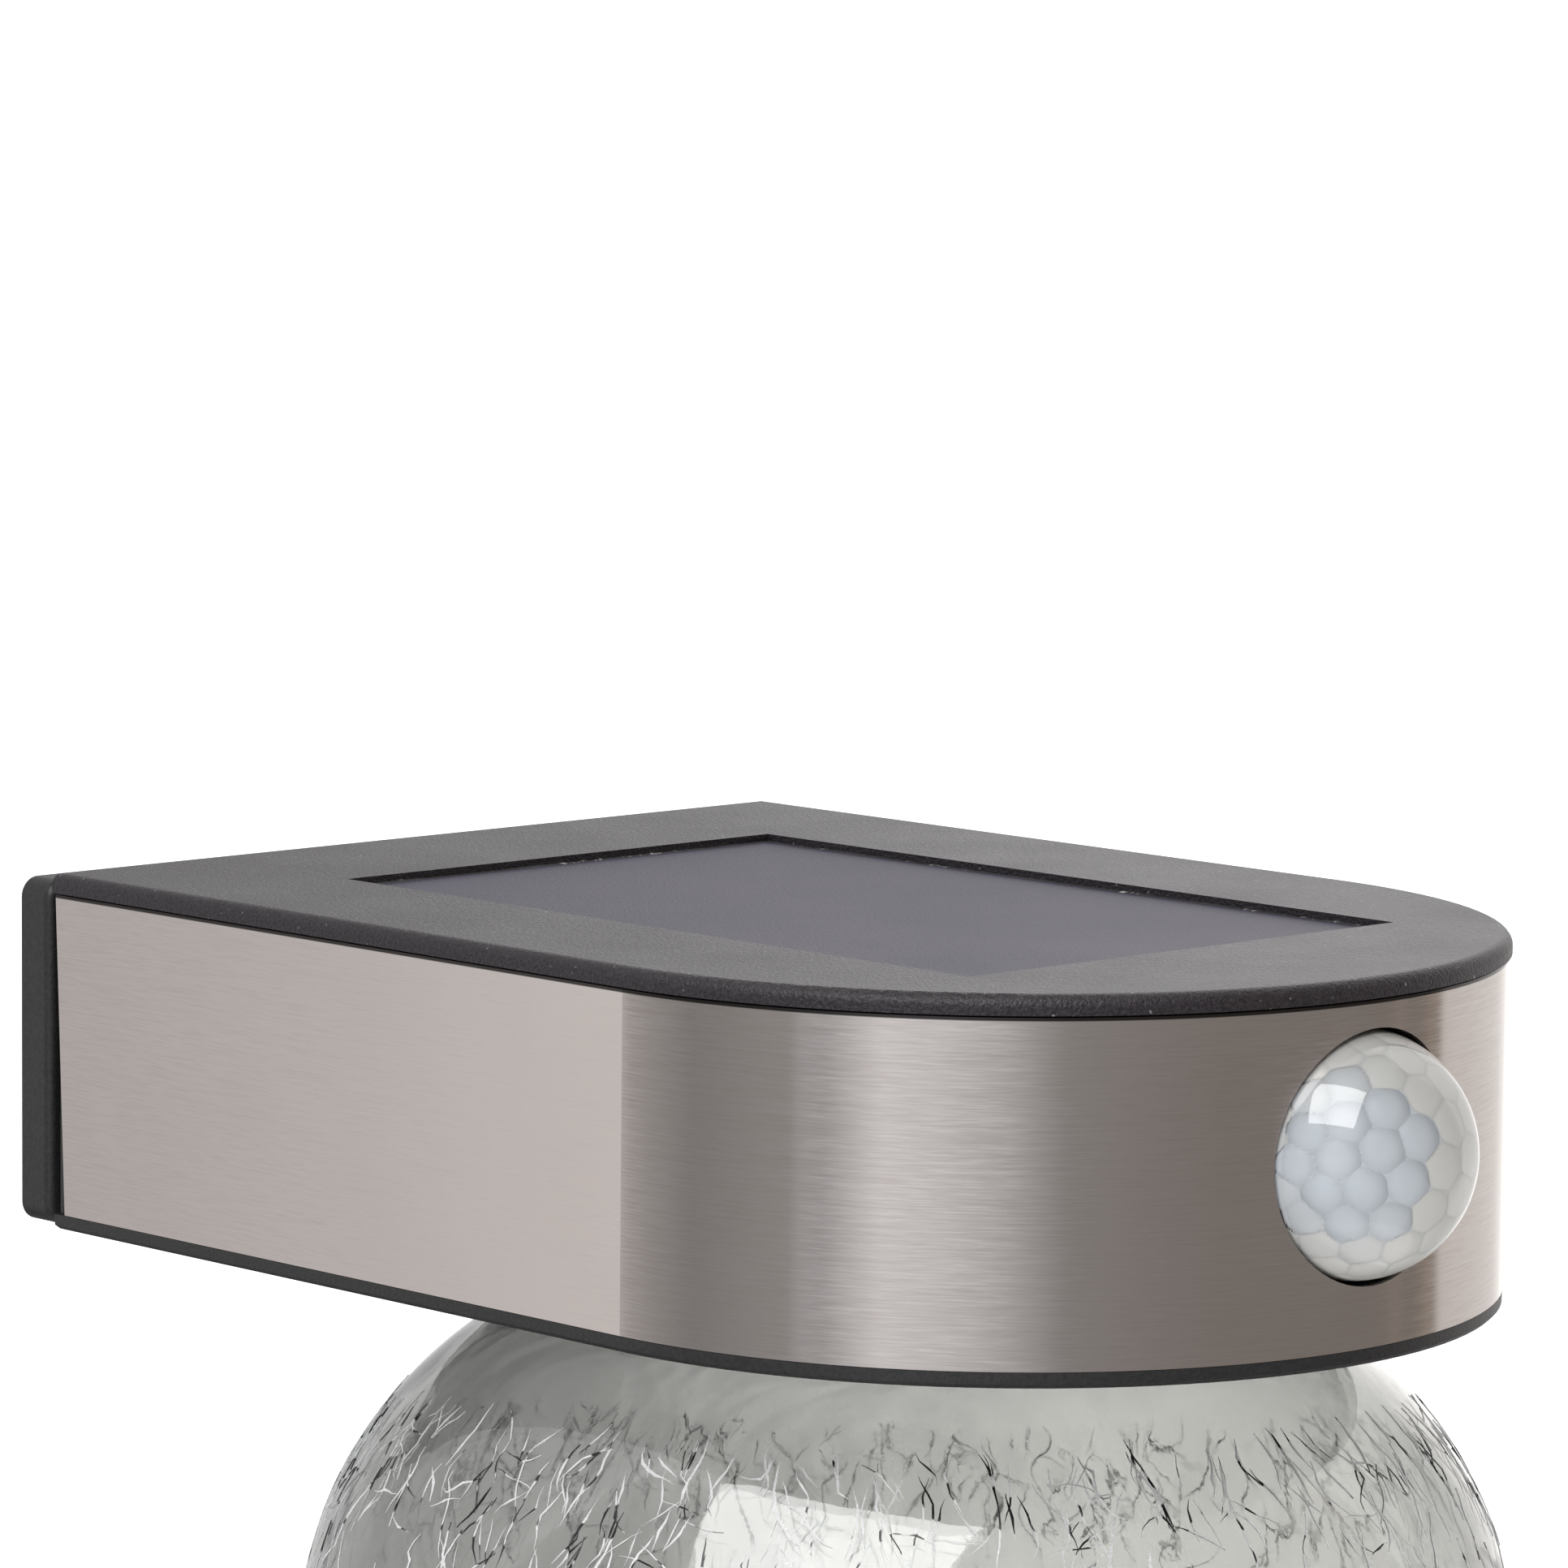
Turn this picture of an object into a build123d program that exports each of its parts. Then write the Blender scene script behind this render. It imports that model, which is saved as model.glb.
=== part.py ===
from build123d import *

import os
from math import asin, cos, degrees, radians, sin

# Solar wall light: a D-shaped head hangs on a wall bracket and carries a glass globe below it.
# Millimetres. The origin is the centre of the bracket's back face, +Y points into the wall,
# -Y out into the room and +Z up.

# ---------------------------------------------------------------- driving dimensions
HEAD_R = 49.0              # outside radius of the steel band round the front
ARC_Y = -90.5              # centre of the front half circle
COVER_TOP = 18.5
LIP_BOTTOM = 16.6
HEAD_BOTTOM = -17.5
RIM_TOP = -16.0            # top of the thin black rim below the steel
LIP_OVERHANG = 0.3         # how far the cover's lip stands out past the steel
LIP_ROUND = 1.2

PLATE_W, PLATE_H, PLATE_T = 97.0, 35.0, 4.5
PLATE_CORNER_R, PLATE_EDGE_R = 2.0, 0.9
POCKET_DEPTH, POCKET_H = 2.6, 13.0        # moulded pockets in the back face
WALL_HOLE_SPACING, WALL_HOLE_R, WALL_SINK_R = 60.0, 2.25, 4.3
HOOK_X, HOOK_W = 14.0, 12.0
HOOK_STEM_LOW, HOOK_STEM_TOP, HOOK_LIP_TOP = -2.0, 1.0, 8.0
HEAD_LIFT = 7.5            # how far the head slides up to come off the hooks
GAP = 0.3                  # clearance between bodies that move apart

BAND_T = 0.6
TUB_INSET = BAND_T + 0.15
TUB_WALL = 1.8
HEAD_GAP = 1.5             # open joint between the plate and the head
BACK_Y = -(PLATE_T + HEAD_GAP)            # rear face of the tub and the cover
BACK_WALL = 2.0
HOOK_IN_Y = BACK_Y - BACK_WALL - GAP      # rear and front face of the hooks' upright lip
HOOK_OUT_Y = HOOK_IN_Y - 2.0
BAND_END_TOP, BAND_END_LOW = BACK_Y - 0.2, BACK_Y - 1.6    # slanted rear ends of the steel
PAD_X, PAD_Z = 38.0, 9.0                  # spacer pads on the back of the tub
FLOOR_TOP = -15.0
TUB_TOP = 15.6

PANEL_HALF_W = 28.85       # recess for the solar panel
PANEL_BACK, PANEL_FRONT = -27.5, -115.5
PANEL_TOP = 17.7
GLASS_T, CELL_T, BACKING_T, SEAL_T = 1.0, 0.2, 1.2, 0.5
TRAY_FLOOR, TRAY_WALL, LEDGE_W = 1.5, 1.6, 3.0

GLOBE_Y = -79.0            # vertical axis of the globe and its socket
GLOBE_R = 60.2
GLOBE_MID = -56.3          # height of the widest ring
GLASS_WALL = 2.0
SHOULDER_AXIS, SHOULDER_R = 20.3, 39.9    # arc from the widest ring up to the shoulder
CROWN_R, SHOULDER_TOP = 24.0, -19.1       # tighter arc that ends level
NECK_R = 24.0
NECK_TOP = -9.0

SOCKET_HOLE_R = 26.6
GROOVE_OUT, GROOVE_IN, GROOVE_DEEP = 33.6, 31.4, 1.1    # groove for the socket gasket
STOP_H = 3.0               # height of the stop ribs
SKIRT_IN, SKIRT_OUT, SKIRT_TOP = 30.0, 31.8, -4.0
LUG_OUT, LUG_LOW, LUG_TOP, LUG_DEG = 29.3, -14.7, -12.7, 20.0
NOTCH_DEG, TWIST_DEG, LUGS = 26.0, 40.0, 3

LENS_R, LENS_Z, LENS_MID = 11.8, 1.8, -136.5
LENS_T = 0.8
FLANGE_R, FLANGE_T = 13.4, 1.0
PORT_R = 12.0
PORT_WALL_R, PORT_REAR_Y = 15.2, -129.2   # tube of the tub that carries the lens
SEAT_R, SEAT_Y = 13.6, -132.2
SEAL_RING_T = 0.8
PIR_BOARD_W, PIR_BOARD_H, PIR_BOARD_T = 24.0, 24.6, 1.2
PIR_BOARD_Y = -128.2                      # front face of the sensor board
RAIL_Y = PIR_BOARD_Y + PIR_BOARD_T / 2

BOSSES = [(-40, -14), (40, -14), (-35.5, -111.5), (35.5, -111.5)]
BOSS_R, BOSS_TOP = 4.4, 4.0               # columns of the tub round the cover's screws
COVER_BOSS_R, COVER_BOSS_LOW = 4.0, 4.2
COVER_PILOT_R, COVER_SCREW_R = 1.55, 1.5
WELL_R, COVER_HEAD_R = 3.1, 2.75
BOARD_POSTS = [(x, y) for x in (-38.5, 38.5) for y in (-62, -96)]
BOARD_LOW, BOARD_T = 6.0, 1.6
POST_R, POST_PILOT_R = 3.0, 1.3
SMALL_SCREW_R, SMALL_HEAD_R, SMALL_HEAD_H = 1.22, 2.3, 1.5
CARRIER_SCREW_R, CARRIER_SCREWS = 34.5, 3

CELL_R, CELL_LEN, CELL_Y, CELL_Z = 9.2, 65.0, -33.0, -4.2
SWITCH_Y, SWITCH_TRAVEL = -14.0, 4.0
KNOB_W, KNOB_D, KNOB_DROP = 5.4, 3.6, 1.5
STEM_W, STEM_D = 2.6, 1.6
WIRE_R, WIRE_BEND = 0.6, 1.6
BASE = (Align.CENTER, Align.CENTER, Align.MIN)

os.makedirs("parts", exist_ok=True)


# ---------------------------------------------------------------- helpers
def save(part, label):
    """Label a finished piece and write it as one STEP file."""
    part.label = label
    export_step(part, f"parts/{label}.step")


def head_plan(inset, back, mode=Mode.ADD):
    """Plan outline of the head, drawn inset from the steel's outside: straight sides, half-circle front."""
    half = HEAD_R - inset
    with BuildLine() as outline:
        Polyline((half, ARC_Y), (half, back), (-half, back), (-half, ARC_Y))
        ThreePointArc((-half, ARC_Y), (0, ARC_Y - half), (half, ARC_Y))
    make_face(outline.edges(), mode=mode)


def ring_sector(inner, outer, middle_deg, width_deg):
    """A slice of a ring about the sketch's origin."""
    start = middle_deg - width_deg / 2
    with BuildLine() as outline:
        low = CenterArc((0, 0), inner, start, width_deg)
        high = CenterArc((0, 0), outer, start, width_deg)
        Line(low @ 0, high @ 0)
        Line(low @ 1, high @ 1)
    make_face(outline.edges())


def socket_plane(height):
    """Level plane centred on the globe's axis."""
    return Plane(origin=(0, GLOBE_Y, height), x_dir=(1, 0, 0), z_dir=(0, 0, 1))


def lens_plane(depth):
    """Plane square to the lens axis, facing out into the room."""
    return Plane(origin=(0, depth, LENS_Z), x_dir=(1, 0, 0), z_dir=(0, -1, 0))


def lead_pair(points, spacing):
    """Two parallel wires on one route, bent with round corners."""
    with BuildPart() as pair:
        for side in (-1, 1):
            route_points = [(x + side * spacing / 2, y, z) for x, y, z in points]
            with BuildLine() as route:
                FilletPolyline(*route_points, radius=WIRE_BEND)
            start = Plane(origin=route.line @ 0, z_dir=route.line % 0)
            with BuildSketch(start) as section:
                Circle(WIRE_R)
            sweep(section.sketch, path=route.line)
    return pair.part


# ---------------------------------------------------------------- wall bracket
with BuildPart() as wall_bracket:
    with BuildSketch(Plane.XZ):
        RectangleRounded(PLATE_W, PLATE_H, PLATE_CORNER_R)
    extrude(amount=PLATE_T)
    fillet(wall_bracket.faces().sort_by(Axis.Y)[0].outer_wire().edges(), PLATE_EDGE_R)
    # moulded pockets in the back face, between its ribs
    with BuildSketch(Plane.XZ):
        for spacing, width in ((28, 12), (86, 6)):
            with GridLocations(spacing, POCKET_H + 4, 2, 2):
                RectangleRounded(width, POCKET_H, 1.5)
    extrude(amount=POCKET_DEPTH, mode=Mode.SUBTRACT)
    # two hooks that the head drops over
    for hook_x in (-HOOK_X, HOOK_X):
        with BuildSketch(Plane.YZ.offset(hook_x)):
            with BuildLine():
                Polyline(
                    (-PLATE_T + 0.5, HOOK_STEM_LOW),
                    (HOOK_OUT_Y, HOOK_STEM_LOW),
                    (HOOK_OUT_Y, HOOK_LIP_TOP),
                    (HOOK_IN_Y - 0.8, HOOK_LIP_TOP),
                    (HOOK_IN_Y, HOOK_LIP_TOP - 1.6),
                    (HOOK_IN_Y, HOOK_STEM_TOP),
                    (-PLATE_T + 0.5, HOOK_STEM_TOP),
                    close=True,
                )
            make_face()
        extrude(amount=HOOK_W / 2, both=True)
    with Locations(Plane.XZ.offset(PLATE_T)):
        with GridLocations(WALL_HOLE_SPACING, 0, 2, 1):
            CounterSinkHole(radius=WALL_HOLE_R, counter_sink_radius=WALL_SINK_R)
save(wall_bracket.part, "wall_bracket")

# ---------------------------------------------------------------- lower housing (tub)
with BuildPart() as lower_housing:
    with BuildSketch(Plane.XY.offset(HEAD_BOTTOM)):
        head_plan(0, BACK_Y)
    extrude(amount=RIM_TOP - HEAD_BOTTOM)
    with BuildSketch(Plane.XY.offset(RIM_TOP)):
        head_plan(TUB_INSET, BACK_Y)
    extrude(amount=TUB_TOP - RIM_TOP)
    with BuildSketch(Plane.XY.offset(FLOOR_TOP)):
        head_plan(TUB_INSET + TUB_WALL, BACK_Y - BACK_WALL)
    extrude(amount=TUB_TOP - FLOOR_TOP, mode=Mode.SUBTRACT)
    chamfer(lower_housing.faces().sort_by(Axis.Z)[0].outer_wire().edges(), 0.4)

    # screw columns, board posts and the skirt round the socket
    with BuildSketch(Plane.XY.offset(FLOOR_TOP)):
        with Locations(*BOSSES):
            Circle(BOSS_R)
    extrude(amount=BOSS_TOP - FLOOR_TOP)
    with BuildSketch(Plane.XY.offset(FLOOR_TOP)):
        with Locations(*BOARD_POSTS):
            Circle(POST_R)
    extrude(amount=BOARD_LOW - FLOOR_TOP)
    with BuildSketch(socket_plane(FLOOR_TOP)):
        Circle(SKIRT_OUT)
        with PolarLocations(CARRIER_SCREW_R, CARRIER_SCREWS, start_angle=30):
            Circle(2.6)
        Circle(SKIRT_IN, mode=Mode.SUBTRACT)
    extrude(amount=SKIRT_TOP - FLOOR_TOP)

    # socket mouth with three notches, and a stop rib at each end of the lugs' travel
    with BuildSketch(socket_plane(HEAD_BOTTOM)):
        Circle(SOCKET_HOLE_R)
        for lug in range(LUGS):
            ring_sector(SOCKET_HOLE_R - 1, SKIRT_IN, lug * 360 / LUGS - TWIST_DEG, NOTCH_DEG)
    extrude(amount=FLOOR_TOP - HEAD_BOTTOM, mode=Mode.SUBTRACT)
    with BuildSketch(socket_plane(FLOOR_TOP)):
        for lug in range(LUGS):
            ring_sector(27.2, SKIRT_IN + 0.5, lug * 360 / LUGS + LUG_DEG / 2 + 2.5, 3)
            ring_sector(28.4, SKIRT_IN + 0.5, lug * 360 / LUGS - TWIST_DEG - NOTCH_DEG / 2 - 1.5, 3)
    extrude(amount=STOP_H)
    with BuildSketch(socket_plane(HEAD_BOTTOM)):
        Circle(GROOVE_OUT)
        Circle(GROOVE_IN, mode=Mode.SUBTRACT)
    extrude(amount=GROOVE_DEEP, mode=Mode.SUBTRACT)

    # lens port: a tube that carries the seal, the lens flange and the retainer
    with BuildSketch(lens_plane(PORT_REAR_Y)):
        Circle(PORT_WALL_R)
        with Locations((0, PORT_WALL_R + TUB_TOP - LENS_Z - 0.1)):
            Rectangle(40, 2 * PORT_WALL_R, mode=Mode.SUBTRACT)
    extrude(amount=8.0)
    with BuildSketch(Plane.XY.offset(RIM_TOP)):
        head_plan(-5, BACK_Y)
        head_plan(TUB_INSET, BACK_Y, mode=Mode.SUBTRACT)
    extrude(amount=TUB_TOP - RIM_TOP, mode=Mode.SUBTRACT)
    with BuildSketch(lens_plane(PORT_REAR_Y)):
        Circle(SEAT_R)
    extrude(amount=PORT_REAR_Y - SEAT_Y, mode=Mode.SUBTRACT)
    with BuildSketch(lens_plane(PORT_REAR_Y)):
        Circle(PORT_R)
    extrude(amount=14, mode=Mode.SUBTRACT)

    # rails that hold the sensor board upright
    with BuildSketch(Plane.XY.offset(FLOOR_TOP)):
        with Locations((-PIR_BOARD_W / 2 - 1, RAIL_Y), (PIR_BOARD_W / 2 + 1, RAIL_Y)):
            Rectangle(4, 5)
        with Locations((0, RAIL_Y)):
            Rectangle(PIR_BOARD_W + 0.6, PIR_BOARD_T + 0.3, mode=Mode.SUBTRACT)
    extrude(amount=5.0)

    # pads that keep the head off the plate, and slots for the bracket's hooks in the back wall
    with BuildSketch(Plane.XZ.offset(PLATE_T + GAP)):
        with GridLocations(2 * PAD_X, 2 * PAD_Z, 2, 2):
            Rectangle(10, 6)
    extrude(amount=HEAD_GAP - GAP)
    with BuildSketch(Plane.XZ.offset(-BACK_Y - 1)):
        slot_low = HOOK_STEM_LOW - HEAD_LIFT - GAP
        slot_top = HOOK_STEM_TOP + 0.1
        with Locations((-HOOK_X, (slot_low + slot_top) / 2), (HOOK_X, (slot_low + slot_top) / 2)):
            Rectangle(HOOK_W + 0.8, slot_top - slot_low)
    extrude(amount=BACK_WALL + 2, mode=Mode.SUBTRACT)

    # screw wells from below, pilot holes and the switch slot
    with Locations(*[Pos(x, y, HEAD_BOTTOM) for x, y in BOSSES]):
        Cylinder(WELL_R, -HEAD_BOTTOM, align=BASE, mode=Mode.SUBTRACT)
        Cylinder(COVER_SCREW_R + 0.2, 30, align=BASE, mode=Mode.SUBTRACT)
    with Locations(*[Pos(x, y, -2) for x, y in BOARD_POSTS]):
        Cylinder(POST_PILOT_R, 12, align=BASE, mode=Mode.SUBTRACT)
    with BuildSketch(socket_plane(SKIRT_TOP - 7)):
        with PolarLocations(CARRIER_SCREW_R, CARRIER_SCREWS, start_angle=30):
            Circle(POST_PILOT_R)
    extrude(amount=8, mode=Mode.SUBTRACT)
    with BuildSketch(Plane.XY.offset(HEAD_BOTTOM)):
        with Locations((0, SWITCH_Y)):
            Rectangle(SWITCH_TRAVEL + KNOB_W + 2 * GAP, KNOB_D + 2 * GAP)
    extrude(amount=FLOOR_TOP - HEAD_BOTTOM, mode=Mode.SUBTRACT)
save(lower_housing.part, "lower_housing")

# ---------------------------------------------------------------- steel band
with BuildPart() as steel_band:
    with BuildSketch(Plane.XY.offset(RIM_TOP + 0.05)):
        head_plan(0, BAND_END_TOP)
        head_plan(BAND_T, 5, mode=Mode.SUBTRACT)
    extrude(amount=LIP_BOTTOM - RIM_TOP - 0.25)
    # rear ends cut on a slight slant
    with BuildSketch(Plane.YZ):
        with BuildLine():
            Polyline(
                (BAND_END_TOP, LIP_BOTTOM), (BAND_END_LOW, RIM_TOP), (5, RIM_TOP), (5, LIP_BOTTOM),
                close=True,
            )
        make_face()
    extrude(amount=HEAD_R + 5, both=True, mode=Mode.SUBTRACT)
    with BuildSketch(lens_plane(-120)):
        Circle(PORT_R)
    extrude(amount=30, mode=Mode.SUBTRACT)
save(steel_band.part, "steel_band")

# ---------------------------------------------------------------- top cover
SKIRT_DROP, COVER_SKIRT_T = 3.4, 1.4
LEDGE_TOP = PANEL_TOP - GLASS_T - CELL_T - BACKING_T - SEAL_T
PANEL_LEN = PANEL_BACK - PANEL_FRONT
PANEL_Y = (PANEL_BACK + PANEL_FRONT) / 2
with BuildPart() as top_cover:
    with BuildSketch(Plane.XY.offset(LIP_BOTTOM)):
        head_plan(-LIP_OVERHANG, BACK_Y)
    extrude(amount=COVER_TOP - LIP_BOTTOM)
    rim = top_cover.faces().sort_by(Axis.Z)[-1].outer_wire().edges()
    fillet(rim.filter_by(lambda edge: edge.center().Y < BACK_Y - 1), LIP_ROUND)
    # skirt inside the tub's wall, open where the lens port stands
    skirt_inset = TUB_INSET + TUB_WALL + GAP
    skirt_back = BACK_Y - BACK_WALL - GAP
    with BuildSketch(Plane.XY.offset(LIP_BOTTOM - SKIRT_DROP)):
        head_plan(skirt_inset, skirt_back)
        head_plan(skirt_inset + COVER_SKIRT_T, skirt_back - COVER_SKIRT_T, mode=Mode.SUBTRACT)
        with Locations((0, SEAT_Y)):
            Rectangle(34, 16, mode=Mode.SUBTRACT)
    extrude(amount=SKIRT_DROP)
    # tray under the panel recess
    with BuildSketch(Plane.XY.offset(LEDGE_TOP - TRAY_FLOOR)):
        with Locations((0, PANEL_Y)):
            Rectangle(2 * (PANEL_HALF_W + TRAY_WALL), PANEL_LEN + 2 * TRAY_WALL)
    extrude(amount=LIP_BOTTOM - LEDGE_TOP + TRAY_FLOOR)
    with BuildSketch(Plane.XY.offset(LEDGE_TOP)):
        with Locations((0, PANEL_Y)):
            Rectangle(2 * PANEL_HALF_W, PANEL_LEN)
    extrude(amount=COVER_TOP - LEDGE_TOP, mode=Mode.SUBTRACT)
    with BuildSketch(Plane.XY.offset(LEDGE_TOP - TRAY_FLOOR)):
        with Locations((0, PANEL_Y)):
            Rectangle(2 * (PANEL_HALF_W - LEDGE_W), PANEL_LEN - 2 * LEDGE_W)
    extrude(amount=TRAY_FLOOR, mode=Mode.SUBTRACT)
    # screw bosses
    with BuildSketch(Plane.XY.offset(COVER_BOSS_LOW)):
        with Locations(*BOSSES):
            Circle(COVER_BOSS_R)
            Circle(COVER_PILOT_R, mode=Mode.SUBTRACT)
    extrude(amount=LIP_BOTTOM - COVER_BOSS_LOW)
save(top_cover.part, "top_cover")

with BuildPart() as cover_gasket:
    with BuildSketch(Plane.XY.offset(TUB_TOP)):
        head_plan(TUB_INSET + 0.3, BACK_Y - 0.4)
        head_plan(TUB_INSET + 1.5, BACK_Y - 1.6, mode=Mode.SUBTRACT)
    extrude(amount=LIP_BOTTOM - TUB_TOP)
save(cover_gasket.part, "cover_gasket")

# ---------------------------------------------------------------- solar panel
PANEL_PLAY = 0.7
PANEL_W = 2 * PANEL_HALF_W - PANEL_PLAY
PANEL_L = PANEL_LEN - PANEL_PLAY
CELL_ROWS = 6
with BuildPart() as solar_glass:
    with BuildSketch(Plane.XY.offset(PANEL_TOP - GLASS_T)):
        with Locations((0, PANEL_Y)):
            Rectangle(PANEL_W, PANEL_L)
    extrude(amount=GLASS_T)
save(solar_glass.part, "solar_glass")

with BuildPart() as solar_cells:
    with BuildSketch(Plane.XY.offset(PANEL_TOP - GLASS_T - CELL_T)):
        with Locations((0, PANEL_Y)):
            with GridLocations(PANEL_W / 2 - 0.2, PANEL_L / CELL_ROWS - 0.1, 2, CELL_ROWS):
                Rectangle(PANEL_W / 2 - 0.8, PANEL_L / CELL_ROWS - 0.7)
    extrude(amount=CELL_T)
save(solar_cells.part, "solar_cells")

with BuildPart() as solar_backing:
    with BuildSketch(Plane.XY.offset(LEDGE_TOP + SEAL_T)):
        with Locations((0, PANEL_Y)):
            Rectangle(PANEL_W, PANEL_L)
    extrude(amount=BACKING_T)
save(solar_backing.part, "solar_backing")

SEAL_W = 2.3
with BuildPart() as panel_seal:
    with BuildSketch(Plane.XY.offset(LEDGE_TOP)):
        with Locations((0, PANEL_Y)):
            Rectangle(PANEL_W, PANEL_L)
            Rectangle(PANEL_W - 2 * SEAL_W, PANEL_L - 2 * SEAL_W, mode=Mode.SUBTRACT)
    extrude(amount=SEAL_T)
save(panel_seal.part, "panel_seal")

# ---------------------------------------------------------------- motion sensor
flange_y = SEAT_Y + SEAL_RING_T
with BuildPart() as pir_lens:
    with BuildSketch(Plane.XY.offset(LENS_Z)):
        with BuildLine():
            inner_r = LENS_R - LENS_T
            CenterArc((0, LENS_MID), LENS_R, -90, 90)
            Polyline(
                (LENS_R, LENS_MID),
                (LENS_R, flange_y),
                (FLANGE_R, flange_y),
                (FLANGE_R, flange_y + FLANGE_T),
                (inner_r, flange_y + FLANGE_T),
                (inner_r, LENS_MID),
            )
            CenterArc((0, LENS_MID), inner_r, -90, 90)
            Line((0, LENS_MID - inner_r), (0, LENS_MID - LENS_R))
        make_face()
    revolve(axis=Axis((0, 0, LENS_Z), (0, 1, 0)))
save(pir_lens.part, "pir_lens")

with BuildPart() as lens_seal:
    with BuildSketch(lens_plane(flange_y)):
        Circle(FLANGE_R - 0.1)
        Circle(PORT_R + 0.1, mode=Mode.SUBTRACT)
    extrude(amount=SEAL_RING_T)
save(lens_seal.part, "lens_seal")

with BuildPart() as lens_retainer:
    with BuildSketch(lens_plane(PORT_REAR_Y)):
        Circle(SEAT_R - 0.1)
        Circle(11.0, mode=Mode.SUBTRACT)
    extrude(amount=1.2)
save(lens_retainer.part, "lens_retainer")

with BuildPart() as pir_board:
    with BuildSketch(Plane.XZ.offset(-PIR_BOARD_Y - PIR_BOARD_T)):
        with Locations((0, 0.3)):
            Rectangle(PIR_BOARD_W, PIR_BOARD_H)
        with Locations((0, LENS_Z)):
            Circle(1.0, mode=Mode.SUBTRACT)
    extrude(amount=PIR_BOARD_T)
save(pir_board.part, "pir_board")

CAN_R, CAN_FOOT, CAN_H = 4.1, 0.6, 3.6
with BuildPart() as pir_sensor:
    with BuildSketch(lens_plane(PIR_BOARD_Y)):
        Circle(CAN_R + 0.6)
    extrude(amount=CAN_FOOT)
    with BuildSketch(lens_plane(PIR_BOARD_Y - CAN_FOOT)):
        Circle(CAN_R)
    extrude(amount=CAN_H)
    fillet(pir_sensor.faces().sort_by(Axis.Y)[0].edges(), 0.5)
    with BuildSketch(lens_plane(PIR_BOARD_Y - CAN_FOOT - CAN_H)):
        Rectangle(4.0, 3.0)
    extrude(amount=-0.4, mode=Mode.SUBTRACT)
save(pir_sensor.part, "pir_sensor")

# ---------------------------------------------------------------- boards inside the head
BOARD_TOP = BOARD_LOW + BOARD_T
with BuildPart() as control_board:
    with BuildSketch(Plane.XY.offset(BOARD_LOW)):
        with Locations((0, GLOBE_Y)):
            RectangleRounded(84, 44, 2)
        with Locations(*BOARD_POSTS):
            Circle(POST_PILOT_R + 0.1, mode=Mode.SUBTRACT)
    extrude(amount=BOARD_T)
save(control_board.part, "control_board")

with BuildPart() as control_parts:
    with Locations((-16, -82, BOARD_TOP)):
        Box(10, 6, 1.6, align=BASE)
    with Locations((14, -86, BOARD_TOP)):
        Cylinder(4.0, 3.2, align=BASE)
    with Locations((24, -72, BOARD_TOP), (-26, -72, BOARD_TOP)):
        Cylinder(2.5, 5.0, align=BASE)
    with Locations((0, -70, BOARD_TOP)):
        Box(8, 5, 3.8, align=BASE)
    with Locations(*[(x, -93, BOARD_TOP) for x in (-24, -18, 14, 20, 26)]):
        Box(3.2, 1.6, 0.9, align=BASE)
save(control_parts.part, "control_parts")

with BuildPart() as board_screws:
    with BuildSketch(Plane.XY.offset(BOARD_LOW - 5)):
        with Locations(*BOARD_POSTS):
            Circle(SMALL_SCREW_R)
    extrude(amount=BOARD_T + 5)
    with BuildSketch(Plane.XY.offset(BOARD_TOP)):
        with Locations(*BOARD_POSTS):
            Circle(SMALL_HEAD_R)
            Rectangle(2.4, 0.6, mode=Mode.SUBTRACT)
            Rectangle(0.6, 2.4, mode=Mode.SUBTRACT)
    extrude(amount=SMALL_HEAD_H)
    with BuildSketch(Plane.XY.offset(BOARD_TOP)):
        with Locations(*BOARD_POSTS):
            Circle(SMALL_HEAD_R)
    extrude(amount=SMALL_HEAD_H / 2)
save(board_screws.part, "board_screws")

with BuildPart() as housing_screws:
    with BuildSketch(Plane.XY.offset(-2.2)):
        with Locations(*BOSSES):
            Circle(COVER_HEAD_R)
            Rectangle(3.2, 0.8, mode=Mode.SUBTRACT)
            Rectangle(0.8, 3.2, mode=Mode.SUBTRACT)
    extrude(amount=1.3)
    with BuildSketch(Plane.XY.offset(-0.9)):
        with Locations(*BOSSES):
            Circle(COVER_HEAD_R)
    extrude(amount=0.9)
    with BuildSketch(Plane.XY):
        with Locations(*BOSSES):
            Circle(COVER_SCREW_R)
    extrude(amount=12)
    chamfer(housing_screws.faces().sort_by(Axis.Z)[-4:].edges(), 0.5)
save(housing_screws.part, "housing_screws")

# ---------------------------------------------------------------- battery
BUTTON_H = 1.5
with BuildPart() as battery_cell:
    with BuildSketch(Plane.YZ.offset(-CELL_LEN / 2)):
        with Locations((CELL_Y, CELL_Z)):
            Circle(CELL_R)
    extrude(amount=CELL_LEN - BUTTON_H)
    fillet(battery_cell.edges().filter_by(GeomType.CIRCLE), 0.6)
    with BuildSketch(Plane.YZ.offset(CELL_LEN / 2 - BUTTON_H)):
        with Locations((CELL_Y, CELL_Z)):
            Circle(3.0)
    extrude(amount=BUTTON_H)
save(battery_cell.part, "battery_cell")

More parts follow.
